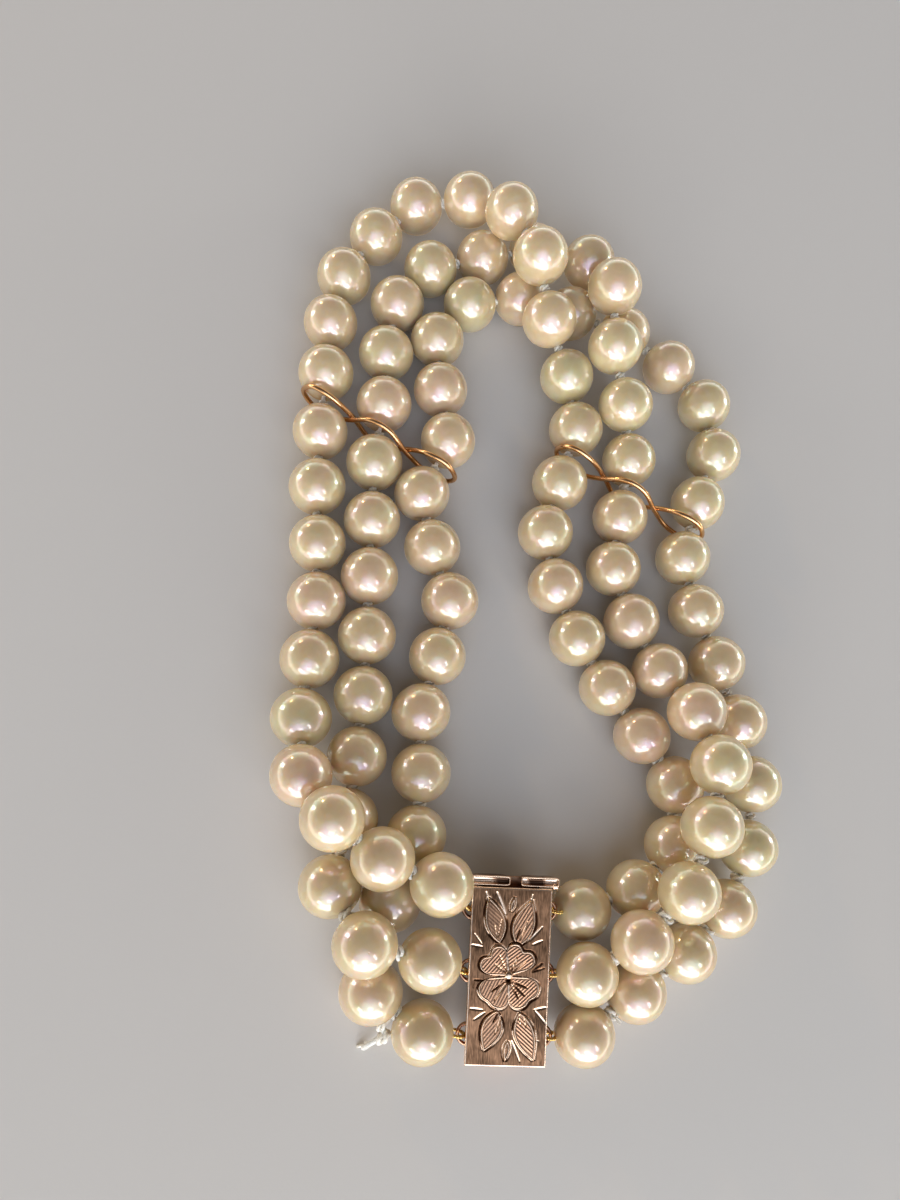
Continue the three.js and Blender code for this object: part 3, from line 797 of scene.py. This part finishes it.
# Single cuts: start, end, width
CUTS = (
    ((-1.5, 8.0), (-0.55, 6.0), 0.34),
    ((-2.55, 8.0), (-2.3, 7.2), 0.30),
    ((2.0, 7.9), (1.9, 7.2), 0.26),
    ((3.05, 4.85), (1.9, 3.55), 0.30),
    ((3.1, 3.55), (2.2, 3.15), 0.28),
    ((3.2, 1.4), (2.3, 0.65), 0.26),
    ((3.4, 0.95), (2.3, 0.55), 0.22),
    ((-3.5, 4.0), (-2.75, 3.05), 0.20),
    ((-3.75, 2.95), (-2.75, 2.8), 0.26),
    ((-3.4, -0.35), (-2.55, -0.4), 0.22),
    ((-3.45, -0.4), (-3.4, -1.1), 0.16),
    ((-3.6, -3.1), (-2.45, -3.2), 0.28),
    ((-3.2, -4.15), (-2.2, -3.45), 0.28),
    ((3.75, -2.8), (2.6, -3.05), 0.28),
    ((3.75, -4.3), (2.75, -3.2), 0.28),
    ((2.9, -6.0), (3.2, -6.0), 0.16),
    ((0.55, -6.1), (1.4, -8.0), 0.28),
    ((-0.95, 5.4), (-1.2, 3.9), 0.20),
    ((-1.55, 4.8), (-1.35, 3.8), 0.18),
    ((0.95, 3.6), (1.6, 5.3), 0.20),
    ((0.6, 3.7), (0.9, 4.6), 0.18),
    ((-1.35, -4.3), (-0.95, -3.5), 0.18),
    ((-1.1, -5.4), (-0.6, -3.7), 0.20),
    ((1.35, -4.6), (1.2, -3.6), 0.18),
    ((1.85, -4.7), (1.6, -3.6), 0.20),
    ((-0.35, 0.45), (-1.35, 1.15), 0.24),
    ((-0.3, 0.6), (-0.95, 2.0), 0.20),
    ((0.25, 0.65), (0.75, 1.9), 0.24),
    ((0.45, 0.55), (1.55, 1.5), 0.22),
    ((-0.4, -0.5), (-1.6, -1.4), 0.20),
    ((-0.35, -0.7), (-1.3, -2.2), 0.24),
    ((0.35, -0.45), (1.75, -0.95), 0.26),
    ((0.35, -0.6), (1.6, -1.75), 0.24),
    ((0.3, -0.75), (1.0, -2.0), 0.22),
)

# The flower's centre, where a small dome stands, and the dark pit in front of the dome
FLOWER_CENTRE = (-0.02, 0.1)
DOME_RADIUS = 0.42
DOME_HEIGHT = 0.24
FLOWER_PIT = (0.0, -0.35)
PIT_WIDTH = 0.75
PIT_DEPTH = 0.25

# Single cuts whose middle is nearer than this to the plate's middle keep their tarnish, and the others get a
# painted highlight
DARK_REACH = 4.25

# The outlines' width round the petals and round the leaves, and the depth of outlines and of cuts
PETAL_OUTLINE = 0.28
LEAF_OUTLINE = 0.26
OUTLINE_DEPTH = 0.10
CUT_DEPTH = 0.08

# How high a form swells and how far in it is level, the height, place and width of its rim,
# which gets a painted highlight, and where its hatching starts, how soon it is at its strongest and how far
# apart it is
SWELL_HEIGHT = 0.06
SWELL_REACH = 0.35
RIM_HEIGHT = 0.07
RIM_PLACE = 0.10
RIM_WIDTH = 0.07
HATCH_START = 0.22
HATCH_FADE = 0.12
HATCH_SPACING = 0.28

# Tarnish of a cut: full in a dark one, and none in a bright one, which gets a painted highlight
DARK = 0.95
PAINTED_HIGHLIGHT = -1.0


def engraving(x, y):
    """Height, tarnish and painted highlights, and hatching of the plate at places in millimetres.

    A petal's edge is a curve round the flower's centre: its length times (1 - s^4)^0.35, less the
    cleft, where s is how far the direction is from the petal's middle, as a share of its spread.
    A leaf's edges are parabolas over the line from base to tip, a little fuller near the base.
    Inside its edge a form swells gently, and just outside there is a cut. A single cut is a
    groove that swells and thins out.
    """
    height = np.zeros_like(x)
    tarnish = np.zeros_like(x)
    lines = np.zeros(x.shape + (3,))
    lines[..., 0] = y

    def cut(distance, width, depth, shade):
        """Lowers the plate in a V groove. A shade above zero darkens it with tarnish, and one below paints a
        highlight on it.
        """
        nonlocal height, tarnish
        groove = np.clip(1 - np.abs(distance) / (width / 2), 0, 1)
        height = np.minimum(height, height * (1 - groove) - depth * groove)
        inner = np.clip(1.6 * groove, 0, 1)
        tarnish = tarnish * (1 - inner) + shade * inner

    def form(inside, angle, painted_lighter):
        """Swells the plate inside a form, rolls its rim and paints a highlight on it, and hatches it at an
        angle and sets how far it is painted lighter.
        """
        nonlocal height, tarnish
        body = np.clip(inside / SWELL_REACH, 0, 1)
        rim = np.exp(-(((inside - RIM_PLACE) / RIM_WIDTH) ** 2))
        swell = SWELL_HEIGHT * body * body * (3 - 2 * body) + RIM_HEIGHT * rim
        height = np.where(inside > 0, np.maximum(height, swell), height)
        # The form's inside keeps a little tarnish, and its rim gets a painted highlight
        tarnish = np.where(inside > 0.02, np.minimum(tarnish, 0.15 - 0.85 * rim), tarnish)
        hatched = np.clip((inside - HATCH_START) / HATCH_FADE, 0, 1)
        across = x * math.cos(angle) + y * math.sin(angle)
        lines[..., 0] = np.where(inside > 0, across, lines[..., 0])
        lines[..., 1] = np.where(inside > 0, hatched * painted_lighter, lines[..., 1])

    dx, dy = x - FLOWER_CENTRE[0], y - FLOWER_CENTRE[1]
    far, way = np.hypot(dx, dy), np.degrees(np.arctan2(dy, dx))
    insides = []
    for base, tip, left, right, painted_lighter, across in LEAVES:
        base, tip = np.array(base), np.array(tip)
        axis = tip - base
        size = math.hypot(*axis)
        axis = axis / size
        u = ((x - base[0]) * axis[0] + (y - base[1]) * axis[1]) / size
        v = -(x - base[0]) * axis[1] + (y - base[1]) * axis[0]
        arch = np.clip(4 * u * (1 - u), 0, None) * (1 + 0.5 * (0.5 - u))
        inside = np.where(v > 0, left * arch - v, right * arch + v)
        inside = np.where((u > 0) & (u < 1), inside, -1.0)
        insides.append((inside, math.radians(across), min(LEAF_OUTLINE, left), painted_lighter))
    for direction, reach, spread, cleft, painted_lighter, across in PETALS:
        off = (way - direction + 180) % 360 - 180
        share = np.clip(np.abs(off) / spread, 0, 1)
        edge = reach * (1 - share**4) ** 0.35 * (1 - cleft * np.exp(-((off / 9) ** 2)))
        inside = np.minimum(edge - far, (spread - np.abs(off)) * math.pi / 180 * far)
        insides.append((inside, math.radians(across), PETAL_OUTLINE, painted_lighter))
    for inside, angle, width, painted_lighter in insides:
        cut(np.where(inside > -0.9, inside + width / 2 - 0.02, 9.0), width, OUTLINE_DEPTH, DARK)
        form(inside, angle, painted_lighter)
    for start, end, width in CUTS:
        start, end = np.array(start), np.array(end)
        step = end - start
        t = np.clip(((x - start[0]) * step[0] + (y - start[1]) * step[1]) / (step @ step), 0, 1)
        distance = np.hypot(x - start[0] - t * step[0], y - start[1] - t * step[1])
        thin = width * (0.25 + 0.75 * np.sqrt(np.clip(np.sin(np.pi * (0.12 + 0.8 * t)), 0, 1)))
        dark = np.hypot(*(start + end)) / 2 < DARK_REACH
        cut(distance, 1.25 * thin, CUT_DEPTH, DARK if dark else PAINTED_HIGHLIGHT)
    cut(np.hypot(x - FLOWER_PIT[0], y - FLOWER_PIT[1]), PIT_WIDTH, PIT_DEPTH, 1.0)
    dome = np.clip(1 - (np.hypot(dx, dy - 0.1) / DOME_RADIUS) ** 2, 0, 1)
    height = np.where(dome > 0, np.maximum(height, DOME_HEIGHT * np.sqrt(dome)), height)
    # The dome gets a painted highlight
    tarnish = np.where(dome > 0.2, -0.8, tarnish)
    return height, tarnish, lines


def make_plate(material):
    """The engraved plate: a grid over its top, whose height is the engraving, and a profile that
    goes round its edge and under it to a point in the middle."""
    sizes = bpy.context.scene.bracelet_sizes
    columns, rows = 190, 406
    bevel = 0.10 * MM
    half_x, half_y = sizes.clasp_width / 2, sizes.clasp_length / 2
    u = np.linspace(-1, 1, columns) * (half_x - bevel)
    v = np.linspace(-1, 1, rows) * (half_y - bevel)
    x, y = np.meshgrid(u, v)
    height, tarnish, lines = engraving(x / MM, y / MM)
    # The engraving starts 0.1 mm from the edge and is at its full height 0.25 mm further in
    edge = np.minimum(half_x - np.abs(x), half_y - np.abs(y)) / MM
    height = height * np.clip((edge - 0.1) / 0.25, 0, 1)
    # A highlight is painted along the plate's edge
    tarnish = np.where(edge < 0.12, PAINTED_HIGHLIGHT, tarnish)
    top = np.stack([x, y, height * MM], -1).reshape(-1, 3)
    index = np.arange(rows * columns).reshape(rows, columns)
    border = np.concatenate([index[0, :-1], index[:-1, -1], index[-1, :0:-1], index[:0:-1, 0]])
    outline = top[border]
    at_side = np.abs(outline[:, 0]) > half_x - 1.5 * bevel
    at_end = np.abs(outline[:, 1]) > half_y - 1.5 * bevel
    outward = np.sign(outline) * np.column_stack([at_side, at_end, 0 * at_side])
    outward[at_side & at_end] *= 0.85
    # How far each loop of the edge lies out and down, in widths of the bevel
    profile = [(0.5, -0.13), (0.87, -0.5), (1.0, -1.0)]
    thick = sizes.plate / bevel
    profile += [(1.0, 0.4 - thick), (0.85, 0.1 - thick), (0.5, -thick), (-3.0, -thick)]
    loops = [outline + bevel * (out * outward + [0, 0, drop]) for out, drop in profile]
    points = np.vstack([top, *loops, [[0, 0, -sizes.plate]]])
    faces = grid_faces(rows, columns, around=False).tolist()
    count = len(border)
    names = np.concatenate([border, len(top) + np.arange(count * len(loops))]).reshape(-1, count)
    after = np.roll(names, -1, axis=1)
    faces += np.stack([names[:-1], names[1:], after[1:], after[:-1]], -1).reshape(-1, 4).tolist()
    last = np.full(count, len(points) - 1)
    faces += np.stack([names[-1], last, after[-1]], -1).tolist()
    extra = len(points) - len(top)
    return build_piece(
        "clasp_plate",
        to_clasp(points),
        faces,
        material,
        replaces=["clasp_box"],
        attributes={
            # The edge's profile and the underside get the painted highlight too
            "cut": np.concatenate([tarnish.ravel(), np.full(extra, PAINTED_HIGHLIGHT)]),
            "hatch": np.vstack([lines.reshape(-1, 3), np.zeros((extra, 3))]),
        },
    )


def boxes(corners):
    """Boxes between pairs of opposite corners."""
    parts = []
    for low, high in corners:
        low, high = np.array(low, float), np.array(high, float)
        share = np.array([[x, y, z] for x in (0, 1) for y in (0, 1) for z in (0, 1)])
        quads = [[0, 1, 3, 2], [4, 6, 7, 5], [0, 4, 5, 1], [2, 3, 7, 6], [0, 2, 6, 4], [1, 5, 7, 3]]
        parts.append((low + share * (high - low), quads))
    return together(parts)


def rounded(piece, width):
    """Rounds a piece's sharp edges."""
    bevel = piece.modifiers.new("rounded", "BEVEL")
    bevel.width, bevel.segments, bevel.angle_limit = width, 3, math.radians(25)
    bevel.harden_normals = True
    return piece


def make_case(material):
    """The box under the plate, open towards the tongue: a bottom and three walls."""
    sizes = bpy.context.scene.bracelet_sizes
    x = sizes.clasp_width / 2 - sizes.overhang
    y = sizes.clasp_length / 2 - sizes.overhang
    wall, low, high = sizes.case_wall, -sizes.clasp_height, -sizes.plate / 2
    points, faces = boxes(
        [
            ((-x, -y, low), (x, y, low + wall)),
            ((-x, -y, low), (-x + wall, y, high)),
            ((x - wall, -y, low), (x, y, high)),
            ((-x, -y, low), (x, -y + wall, high)),
        ]
    )
    piece = build_piece("clasp_case", to_clasp(points), faces, material)
    return rounded(piece, 0.08 * MM)


def make_rings(material):
    """The six rings on the box: tubes on half circles whose ends go straight into the wall."""
    sizes = bpy.context.scene.bracelet_sizes
    wall = sizes.clasp_width / 2 - sizes.overhang
    radius = sizes.ring_reach - sizes.ring_wire / 2
    angle = np.linspace(0, np.pi, 25)[:, None]
    parts = []
    for side in (-1, 1):
        for strand in range(len(STRANDS)):
            root = np.array([side * wall, (1 - strand) * sizes.ring_spacing, -sizes.clasp_height / 2])
            bow = root + radius * (np.sin(angle) * [side, 0, 0] + np.cos(angle) * [0, 1, 0])
            deep = np.array([side * sizes.case_wall / 2, 0, 0])
            path = np.vstack([bow[:1] - deep, bow, bow[-1:] - deep])
            parts.append(tube(path, [0, 0, 1], np.full((len(path), 10), sizes.ring_wire / 2)))
    points, faces = together(parts)
    return build_piece("clasp_rings", to_clasp(points), faces, material)


def prism(profile, low, high):
    """A closed prism: a profile of (y, z) corners, drawn out along x from low to high."""
    profile = np.asarray(profile, float)
    count = len(profile)
    points = np.vstack([np.column_stack([np.full(count, x), profile]) for x in (low, high)])
    sides = [[i, (i + 1) % count, count + (i + 1) % count, count + i] for i in range(count)]
    return points, [f[::-1] for f in sides] + [list(range(count)), list(range(2 * count - 1, count - 1, -1))]


def tray(middle, half_x, half_y, rings):
    """A tray on a rounded rectangle, and the painted shade of each of its points, with a painted highlight
    below zero.

    Each ring is (inset, height, painted shade). Its outline is x = a·sgn(cos t)·|cos t|^(1/4) and
    y = b·sgn(sin t)·|sin t|^(1/4), with a and b the half sizes less the inset. The first and
    last rings are closed by a point in their middle.
    """
    steps = 64
    t = (np.arange(steps) + 0.5) * 2 * np.pi / steps
    across = np.sign(np.cos(t)) * np.abs(np.cos(t)) ** 0.25
    along = np.sign(np.sin(t)) * np.abs(np.sin(t)) ** 0.25
    loops, inside = [], []
    for inset, height, share in rings:
        wide, deep = half_x - inset, half_y - inset
        loops.append(np.stack([wide * across, deep * along, np.full(steps, height)], -1))
        inside += [share] * steps
    points = np.vstack([*loops, [[0, 0, rings[0][1]]], [[0, 0, rings[-1][1]]]]) + [*middle, 0]
    count = len(points) - 2
    faces = grid_faces(len(rings), steps).tolist() + caps(steps, count - steps, count)
    return points, faces, inside + [rings[0][2], rings[-1][2]]


# The end plate from above: its left and right sides, its notch's width, and how far its nearer
# and farther sides lie past the plate
END_PLATE_LEFT = -3.98 * MM
END_PLATE_RIGHT = 4.64 * MM
END_PLATE_NOTCH = 1.05 * MM
END_PLATE_NEAR = 0.16 * MM
END_PLATE_FAR = 1.08 * MM

# Its heights over the box's bottom and under the plate's top, its rim's width, the depth of its
# trays and how much smaller they are at their foot
END_PLATE_FOOT = 0.25 * MM
END_PLATE_DROP = 0.22 * MM
END_PLATE_RIM = 0.13 * MM
END_PLATE_DEPTH = 0.42 * MM
END_PLATE_TAPER = 0.36 * MM


def make_end_plate(material):
    """The two halves of the tongue's end plate, each a shallow tray of folded sheet.

    A highlight is painted on a tray's rim, and its walls and inside are painted dark as shade. The right
    half ends in a curled foot, and the left half in a small hook, both with a painted highlight.
    """
    sizes = bpy.context.scene.bracelet_sizes
    low, high, rim = -sizes.clasp_height + END_PLATE_FOOT, -END_PLATE_DROP, END_PLATE_RIM
    left, right = END_PLATE_LEFT, END_PLATE_RIGHT
    middle = (left + right) / 2
    near, far = sizes.clasp_length / 2 + END_PLATE_NEAR, sizes.clasp_length / 2 + END_PLATE_FAR
    fold = 0.02 * MM
    # Each ring's third value is its painted shade: the rim gets a painted highlight, the walls and the
    # inside painted shade
    rings = [
        (END_PLATE_TAPER, low, 0.9),
        (END_PLATE_TAPER - fold, low + 5 * fold, 0.9),
        (0.0, high - 15 * fold, 0.8),
        (1.5 * fold, high, -0.9),
        (rim - 1.5 * fold, high, -0.9),
        (rim, high - 2 * fold, 0.3),
        (rim + fold, high - END_PLATE_DEPTH, 0.9),
        (rim + 5 * fold, high - END_PLATE_DEPTH, 0.8),
    ]
    parts, cut = [], []
    for start, end in ((left, middle - END_PLATE_NOTCH / 2), (middle + END_PLATE_NOTCH / 2, right)):
        place = ((start + end) / 2, (near + far) / 2)
        points, faces, inside = tray(place, (end - start) / 2, (far - near) / 2, rings)
        parts.append((points, faces))
        cut += inside
    # The foot is a curled strip and the hook a bent wire, both with a radius of 0.2 mm
    bent = 0.2 * MM
    turn = np.linspace(0, 1.5 * np.pi, 22)[:, None]
    foot = np.array([right - 0.34 * MM, near + 0.02 * MM, high - END_PLATE_DEPTH])
    curl = foot + bent * (np.cos(turn) * [0, 1, 0] + np.sin(turn) * [0, 0, 1])
    parts.append(tube(curl, [1, 0, 0], 0.15 * MM * np.array([2.0, 1.6, 0.8, 0.6, 0.8, 1.6] * 2)))
    bend = np.linspace(0, 1.2 * np.pi, 16)[:, None]
    hook = np.array([left + 0.22 * MM, near - 0.02 * MM, high - 0.25 * MM])
    hook = hook + bent * (np.cos(bend) * [1, 0, 0] + np.sin(bend) * [0, -0.7, 0.7])
    parts.append(tube(hook, [0, 1, 1], np.full((16, 8), 0.11 * MM)))
    points, faces = together(parts)
    # The foot and the hook get a painted highlight
    cut = np.concatenate([cut, np.full(len(points) - len(cut), -0.8)])
    lines = np.zeros((len(points), 3))
    lines[:, 0] = points[:, 1] / MM
    lines[:, 1] = np.clip(cut, 0, 1)
    return build_piece(
        "clasp_end_plate",
        to_clasp(points),
        faces,
        material,
        attributes={"cut": cut, "hatch": lines},
    )


# The tongue: its play in the box, the leaf's thickness, how far the strip comes out under the
# end plate, the strip's length, and how far from its end the spring leaf stops
TONGUE_FREE = 0.3 * MM
TONGUE_LEAF = 0.4 * MM
TONGUE_OUT = 0.72 * MM
TONGUE_LENGTH = 12.4 * MM
TONGUE_BACK = 1.1 * MM


def make_tongue(material):
    """The spring tongue: one strip folded back on itself, from the end plate into the box."""
    sizes = bpy.context.scene.bracelet_sizes
    leaf = TONGUE_LEAF
    wall = sizes.case_wall + TONGUE_FREE
    width = sizes.clasp_width - 2 * sizes.overhang - 2 * wall
    low, high = -sizes.clasp_height + wall, -sizes.plate - TONGUE_FREE
    end = sizes.clasp_length / 2 + TONGUE_OUT
    fold, back = end - TONGUE_LENGTH, end - TONGUE_BACK
    profile = [(fold, low), (end, low), (end, low + leaf), (fold + 2 * leaf, low + leaf)]
    profile += [(back, high - leaf), (back, high), (fold, low + leaf)]
    points, faces = prism(profile, -width / 2, width / 2)
    piece = build_piece(
        "clasp_tongue_leaf",
        to_clasp(points),
        faces,
        material,
        replaces=["clasp_tongue"],
        smooth=False,
    )
    return rounded(piece, 0.06 * MM)


def make_floor():
    """A plain pale floor just under the part."""
    finish = bpy.context.scene.bracelet_finishes
    material, tree = new_material("matt_studio_paper")
    # Paper grain of about 0.3 mm
    grain = noise(tree, object_place(tree), 3000.0, 2.0)
    surface(
        tree,
        {"Base Color": opaque(finish.floor), "Roughness": 0.9, "Normal": bump(tree, grain, 0.15, 0.05 * MM)},
    )
    mesh = bpy.data.meshes.new("studio_floor")
    half, z = 3.0, -0.02 * MM
    corners = [(-half, -half, z), (half, -half, z), (half, half, z), (-half, half, z)]
    mesh.from_pydata(corners, [], [(0, 1, 2, 3)])
    mesh.materials.append(material)
    floor = bpy.data.objects.new("studio_floor", mesh)
    bpy.context.scene.collection.objects.link(floor)
    return floor


# Softboxes: name, direction from the bracelet, distance, width, height, radiance, colour
LIGHTS = (
    ("warm_lamp", (-0.52, 0.79, 0.32), 0.50, 0.022, 0.022, 140.0, "#FFD9A0"),
    ("pane_right", (0.46, -0.60, 0.65), 0.50, 0.06, 0.16, 5.0, "#F4F8FF"),
    ("pane_left", (-0.52, -0.77, 0.36), 0.50, 0.12, 0.09, 5.0, "#FFFBF2"),
    ("pane_low", (0.20, -0.90, 0.38), 0.50, 0.09, 0.14, 5.0, "#FFFBF2"),
    ("pane_middle", (-0.05, -0.80, 0.60), 0.50, 0.12, 0.10, 3.0, "#FFFFFF"),
    ("window_sill", (0.00, -0.975, 0.22), 0.50, 0.50, 0.20, 3.6, "#FBFCFF"),
    ("side_left", (-0.89, 0.40, 0.20), 0.45, 0.08, 0.12, 7.0, "#FFFFFF"),
    ("side_right", (0.95, 0.26, 0.16), 0.45, 0.08, 0.12, 7.0, "#F6FFFF"),
)

# The window's direction, its half width and half height as sines, its radiance and its colour
WINDOW = (-0.03, -0.800, 0.600)
WINDOW_REACH = (0.76, 0.86)
WINDOW_RADIANCE = 2.7
WINDOW_TINT = "#D4E4FF"

# The room's radiance, and its colours by height: the sine of the elevation and the colour there
ROOM_RADIANCE = 3.3
ROOM_TINTS = ((0.0, "#F1F0EC"), (0.14, "#B2B1AD"), (0.40, "#605A54"), (0.75, "#2C2927"))


def facing(direction):
    """The rotation that turns the third axis to a direction and keeps the first one level."""
    return Matrix(axes_along(np.array(direction)).tolist())


def room_light():
    """The world: an even room that is darkest overhead, with one large window whose edges fade.

    Seen from the bracelet, the window is a round glow. Its brightness rises smoothly from its
    edge nearly to its middle.
    """
    world = bpy.data.worlds.new("studio_room")
    world.use_nodes = True
    tree = world.node_tree
    tree.nodes.clear()
    coords = add_node(tree, "ShaderNodeTexCoord")
    parts = add_node(tree, "ShaderNodeSeparateXYZ", {"Vector": coords.outputs["Generated"]})
    sky = ramp(tree, parts.outputs["Z"], [(height, linear(tint)) for height, tint in ROOM_TINTS])
    inside = add_node(
        tree,
        "ShaderNodeMapping",
        {
            "Vector": coords.outputs["Generated"],
            "Location": tuple(unit(np.array(WINDOW))),
            "Rotation": tuple(facing(WINDOW).to_euler()),
            "Scale": (*WINDOW_REACH, 1.0),
        },
        vector_type="TEXTURE",
    )
    glow = add_node(
        tree, "ShaderNodeTexGradient", {"Vector": inside.outputs["Vector"]}, gradient_type="SPHERICAL"
    )
    shape = remap(tree, glow.outputs["Fac"], (0.0, 0.8), (0.0, 1.0), "SMOOTHSTEP")
    pane = tuple(WINDOW_RADIANCE / ROOM_RADIANCE * c for c in linear(WINDOW_TINT))
    lit = mix(tree, shape, sky, opaque(pane))
    background = add_node(tree, "ShaderNodeBackground", {"Color": lit, "Strength": ROOM_RADIANCE})
    add_node(tree, "ShaderNodeOutputWorld", {"Surface": background.outputs["Background"]})
    return world


def make_lights():
    """The lamps, the room's light and the colour transform that keeps whites bright."""
    for name, direction, distance, width, height, radiance, hex_colour in LIGHTS:
        data = bpy.data.lights.new(name, "AREA")
        data.shape = "RECTANGLE"
        data.size, data.size_y = width, height
        data.energy = radiance * math.pi * width * height
        data.color = linear(hex_colour)
        light = bpy.data.objects.new(name, data)
        bpy.context.scene.collection.objects.link(light)
        light.location = unit(np.array(direction)) * distance
        light.rotation_euler = facing(direction).to_euler()
    bpy.context.scene.world = room_light()
    bpy.context.scene.view_settings.view_transform = "Standard"


# The camera's focal length and place in millimetres, and the directions of its right and its top
CAMERA_LENS = 25.2
CAMERA_PLACE = (-21.85, -27.63, 89.3)
CAMERA_RIGHT = (0.98892, 0.0, 0.14843)
CAMERA_UP = (-0.03113, 0.97776, 0.20741)


def make_camera():
    """The camera at the photo's place, just above the loop, turned a little to the side."""
    data = bpy.data.cameras.new("photo_camera")
    data.lens = CAMERA_LENS
    data.sensor_width = 36.0
    data.shift_y = 0.05
    data.clip_start, data.clip_end = 0.005, 10.0
    camera = bpy.data.objects.new("photo_camera", data)
    bpy.context.scene.collection.objects.link(camera)
    turned = np.eye(4)
    turned[:3, :3] = np.stack([CAMERA_RIGHT, CAMERA_UP, np.cross(CAMERA_RIGHT, CAMERA_UP)], -1)
    turned[:3, 3] = np.array(CAMERA_PLACE) * MM
    camera.matrix_world = Matrix(turned.tolist())
    bpy.context.scene.camera = camera


class BRACELET_OT_pearls(bpy.types.Operator):
    """Build the pearls of the three strands"""

    bl_idname = "bracelet.pearls"
    bl_label = "Pearls"

    def execute(self, context):
        material = nacre()
        for strand in range(len(STRANDS)):
            make_pearls(strand, material)
        return {"FINISHED"}


class BRACELET_OT_thread(bpy.types.Operator):
    """Build the knotted silk of the three strands"""

    bl_idname = "bracelet.thread"
    bl_label = "Silk Thread"

    def execute(self, context):
        material = silk()
        for strand in range(len(STRANDS)):
            make_thread(strand, material)
        return {"FINISHED"}


class BRACELET_OT_loops(bpy.types.Operator):
    """Build the wire-wound loops that tie the strands to the clasp"""

    bl_idname = "bracelet.loops"
    bl_label = "Wound Loops"

    def execute(self, context):
        finish = context.scene.bracelet_finishes
        make_loops(polished_gold("wound_yellow_gold", finish.yellow_gold, 0.22))
        return {"FINISHED"}


class BRACELET_OT_spacers(bpy.types.Operator):
    """Build the two wire spacers"""

    bl_idname = "bracelet.spacers"
    bl_label = "Spacers"

    def execute(self, context):
        finish = context.scene.bracelet_finishes
        material = polished_gold("drawn_gold_wire", finish.wire_gold, 0.2)
        for index in range(len(SPACERS)):
            make_spacer(index, material)
        return {"FINISHED"}


class BRACELET_OT_clasp(bpy.types.Operator):
    """Build the engraved box clasp with its rings and tongue"""

    bl_idname = "bracelet.clasp"
    bl_label = "Box Clasp"

    def execute(self, context):
        finish = context.scene.bracelet_finishes
        sheet = polished_gold("polished_rose_gold", finish.rose_gold, 0.2)
        engraved = engraved_gold()
        make_plate(engraved)
        make_end_plate(engraved)
        make_case(sheet)
        make_rings(sheet)
        dull = tuple(0.8 * c for c in finish.rose_gold)
        make_tongue(polished_gold("rolled_red_gold", dull, 0.26))
        return {"FINISHED"}


class BRACELET_OT_stage(bpy.types.Operator):
    """Build the floor, the lights and the camera"""

    bl_idname = "bracelet.stage"
    bl_label = "Studio"

    def execute(self, context):
        make_floor()
        make_lights()
        make_camera()
        return {"FINISHED"}


class BRACELET_PT_panel(bpy.types.Panel):
    """The bracelet's sizes, finishes and building steps"""

    bl_label = "Pearl Bracelet"
    bl_idname = "BRACELET_PT_panel"
    bl_space_type = "VIEW_3D"
    bl_region_type = "UI"
    bl_category = "Bracelet"

    def draw(self, context):
        for group in (context.scene.bracelet_sizes, context.scene.bracelet_finishes):
            box = self.layout.box()
            for key in group.__annotations__:
                box.prop(group, key)
        for operator in OPERATORS:
            self.layout.operator(operator.bl_idname)


OPERATORS = (
    BRACELET_OT_stage,
    BRACELET_OT_pearls,
    BRACELET_OT_thread,
    BRACELET_OT_loops,
    BRACELET_OT_spacers,
    BRACELET_OT_clasp,
)
CLASSES = (BraceletSizes, BraceletFinishes, *OPERATORS, BRACELET_PT_panel)


def register():
    for kind in CLASSES:
        bpy.utils.register_class(kind)
    bpy.types.Scene.bracelet_sizes = PointerProperty(type=BraceletSizes)
    bpy.types.Scene.bracelet_finishes = PointerProperty(type=BraceletFinishes)


def unregister():
    del bpy.types.Scene.bracelet_finishes
    del bpy.types.Scene.bracelet_sizes
    for kind in reversed(CLASSES):
        bpy.utils.unregister_class(kind)


def main():
    register()
    for operator in OPERATORS:
        group, name = operator.bl_idname.split(".")
        getattr(getattr(bpy.ops, group), name)()


if __name__ == "__main__":
    main()
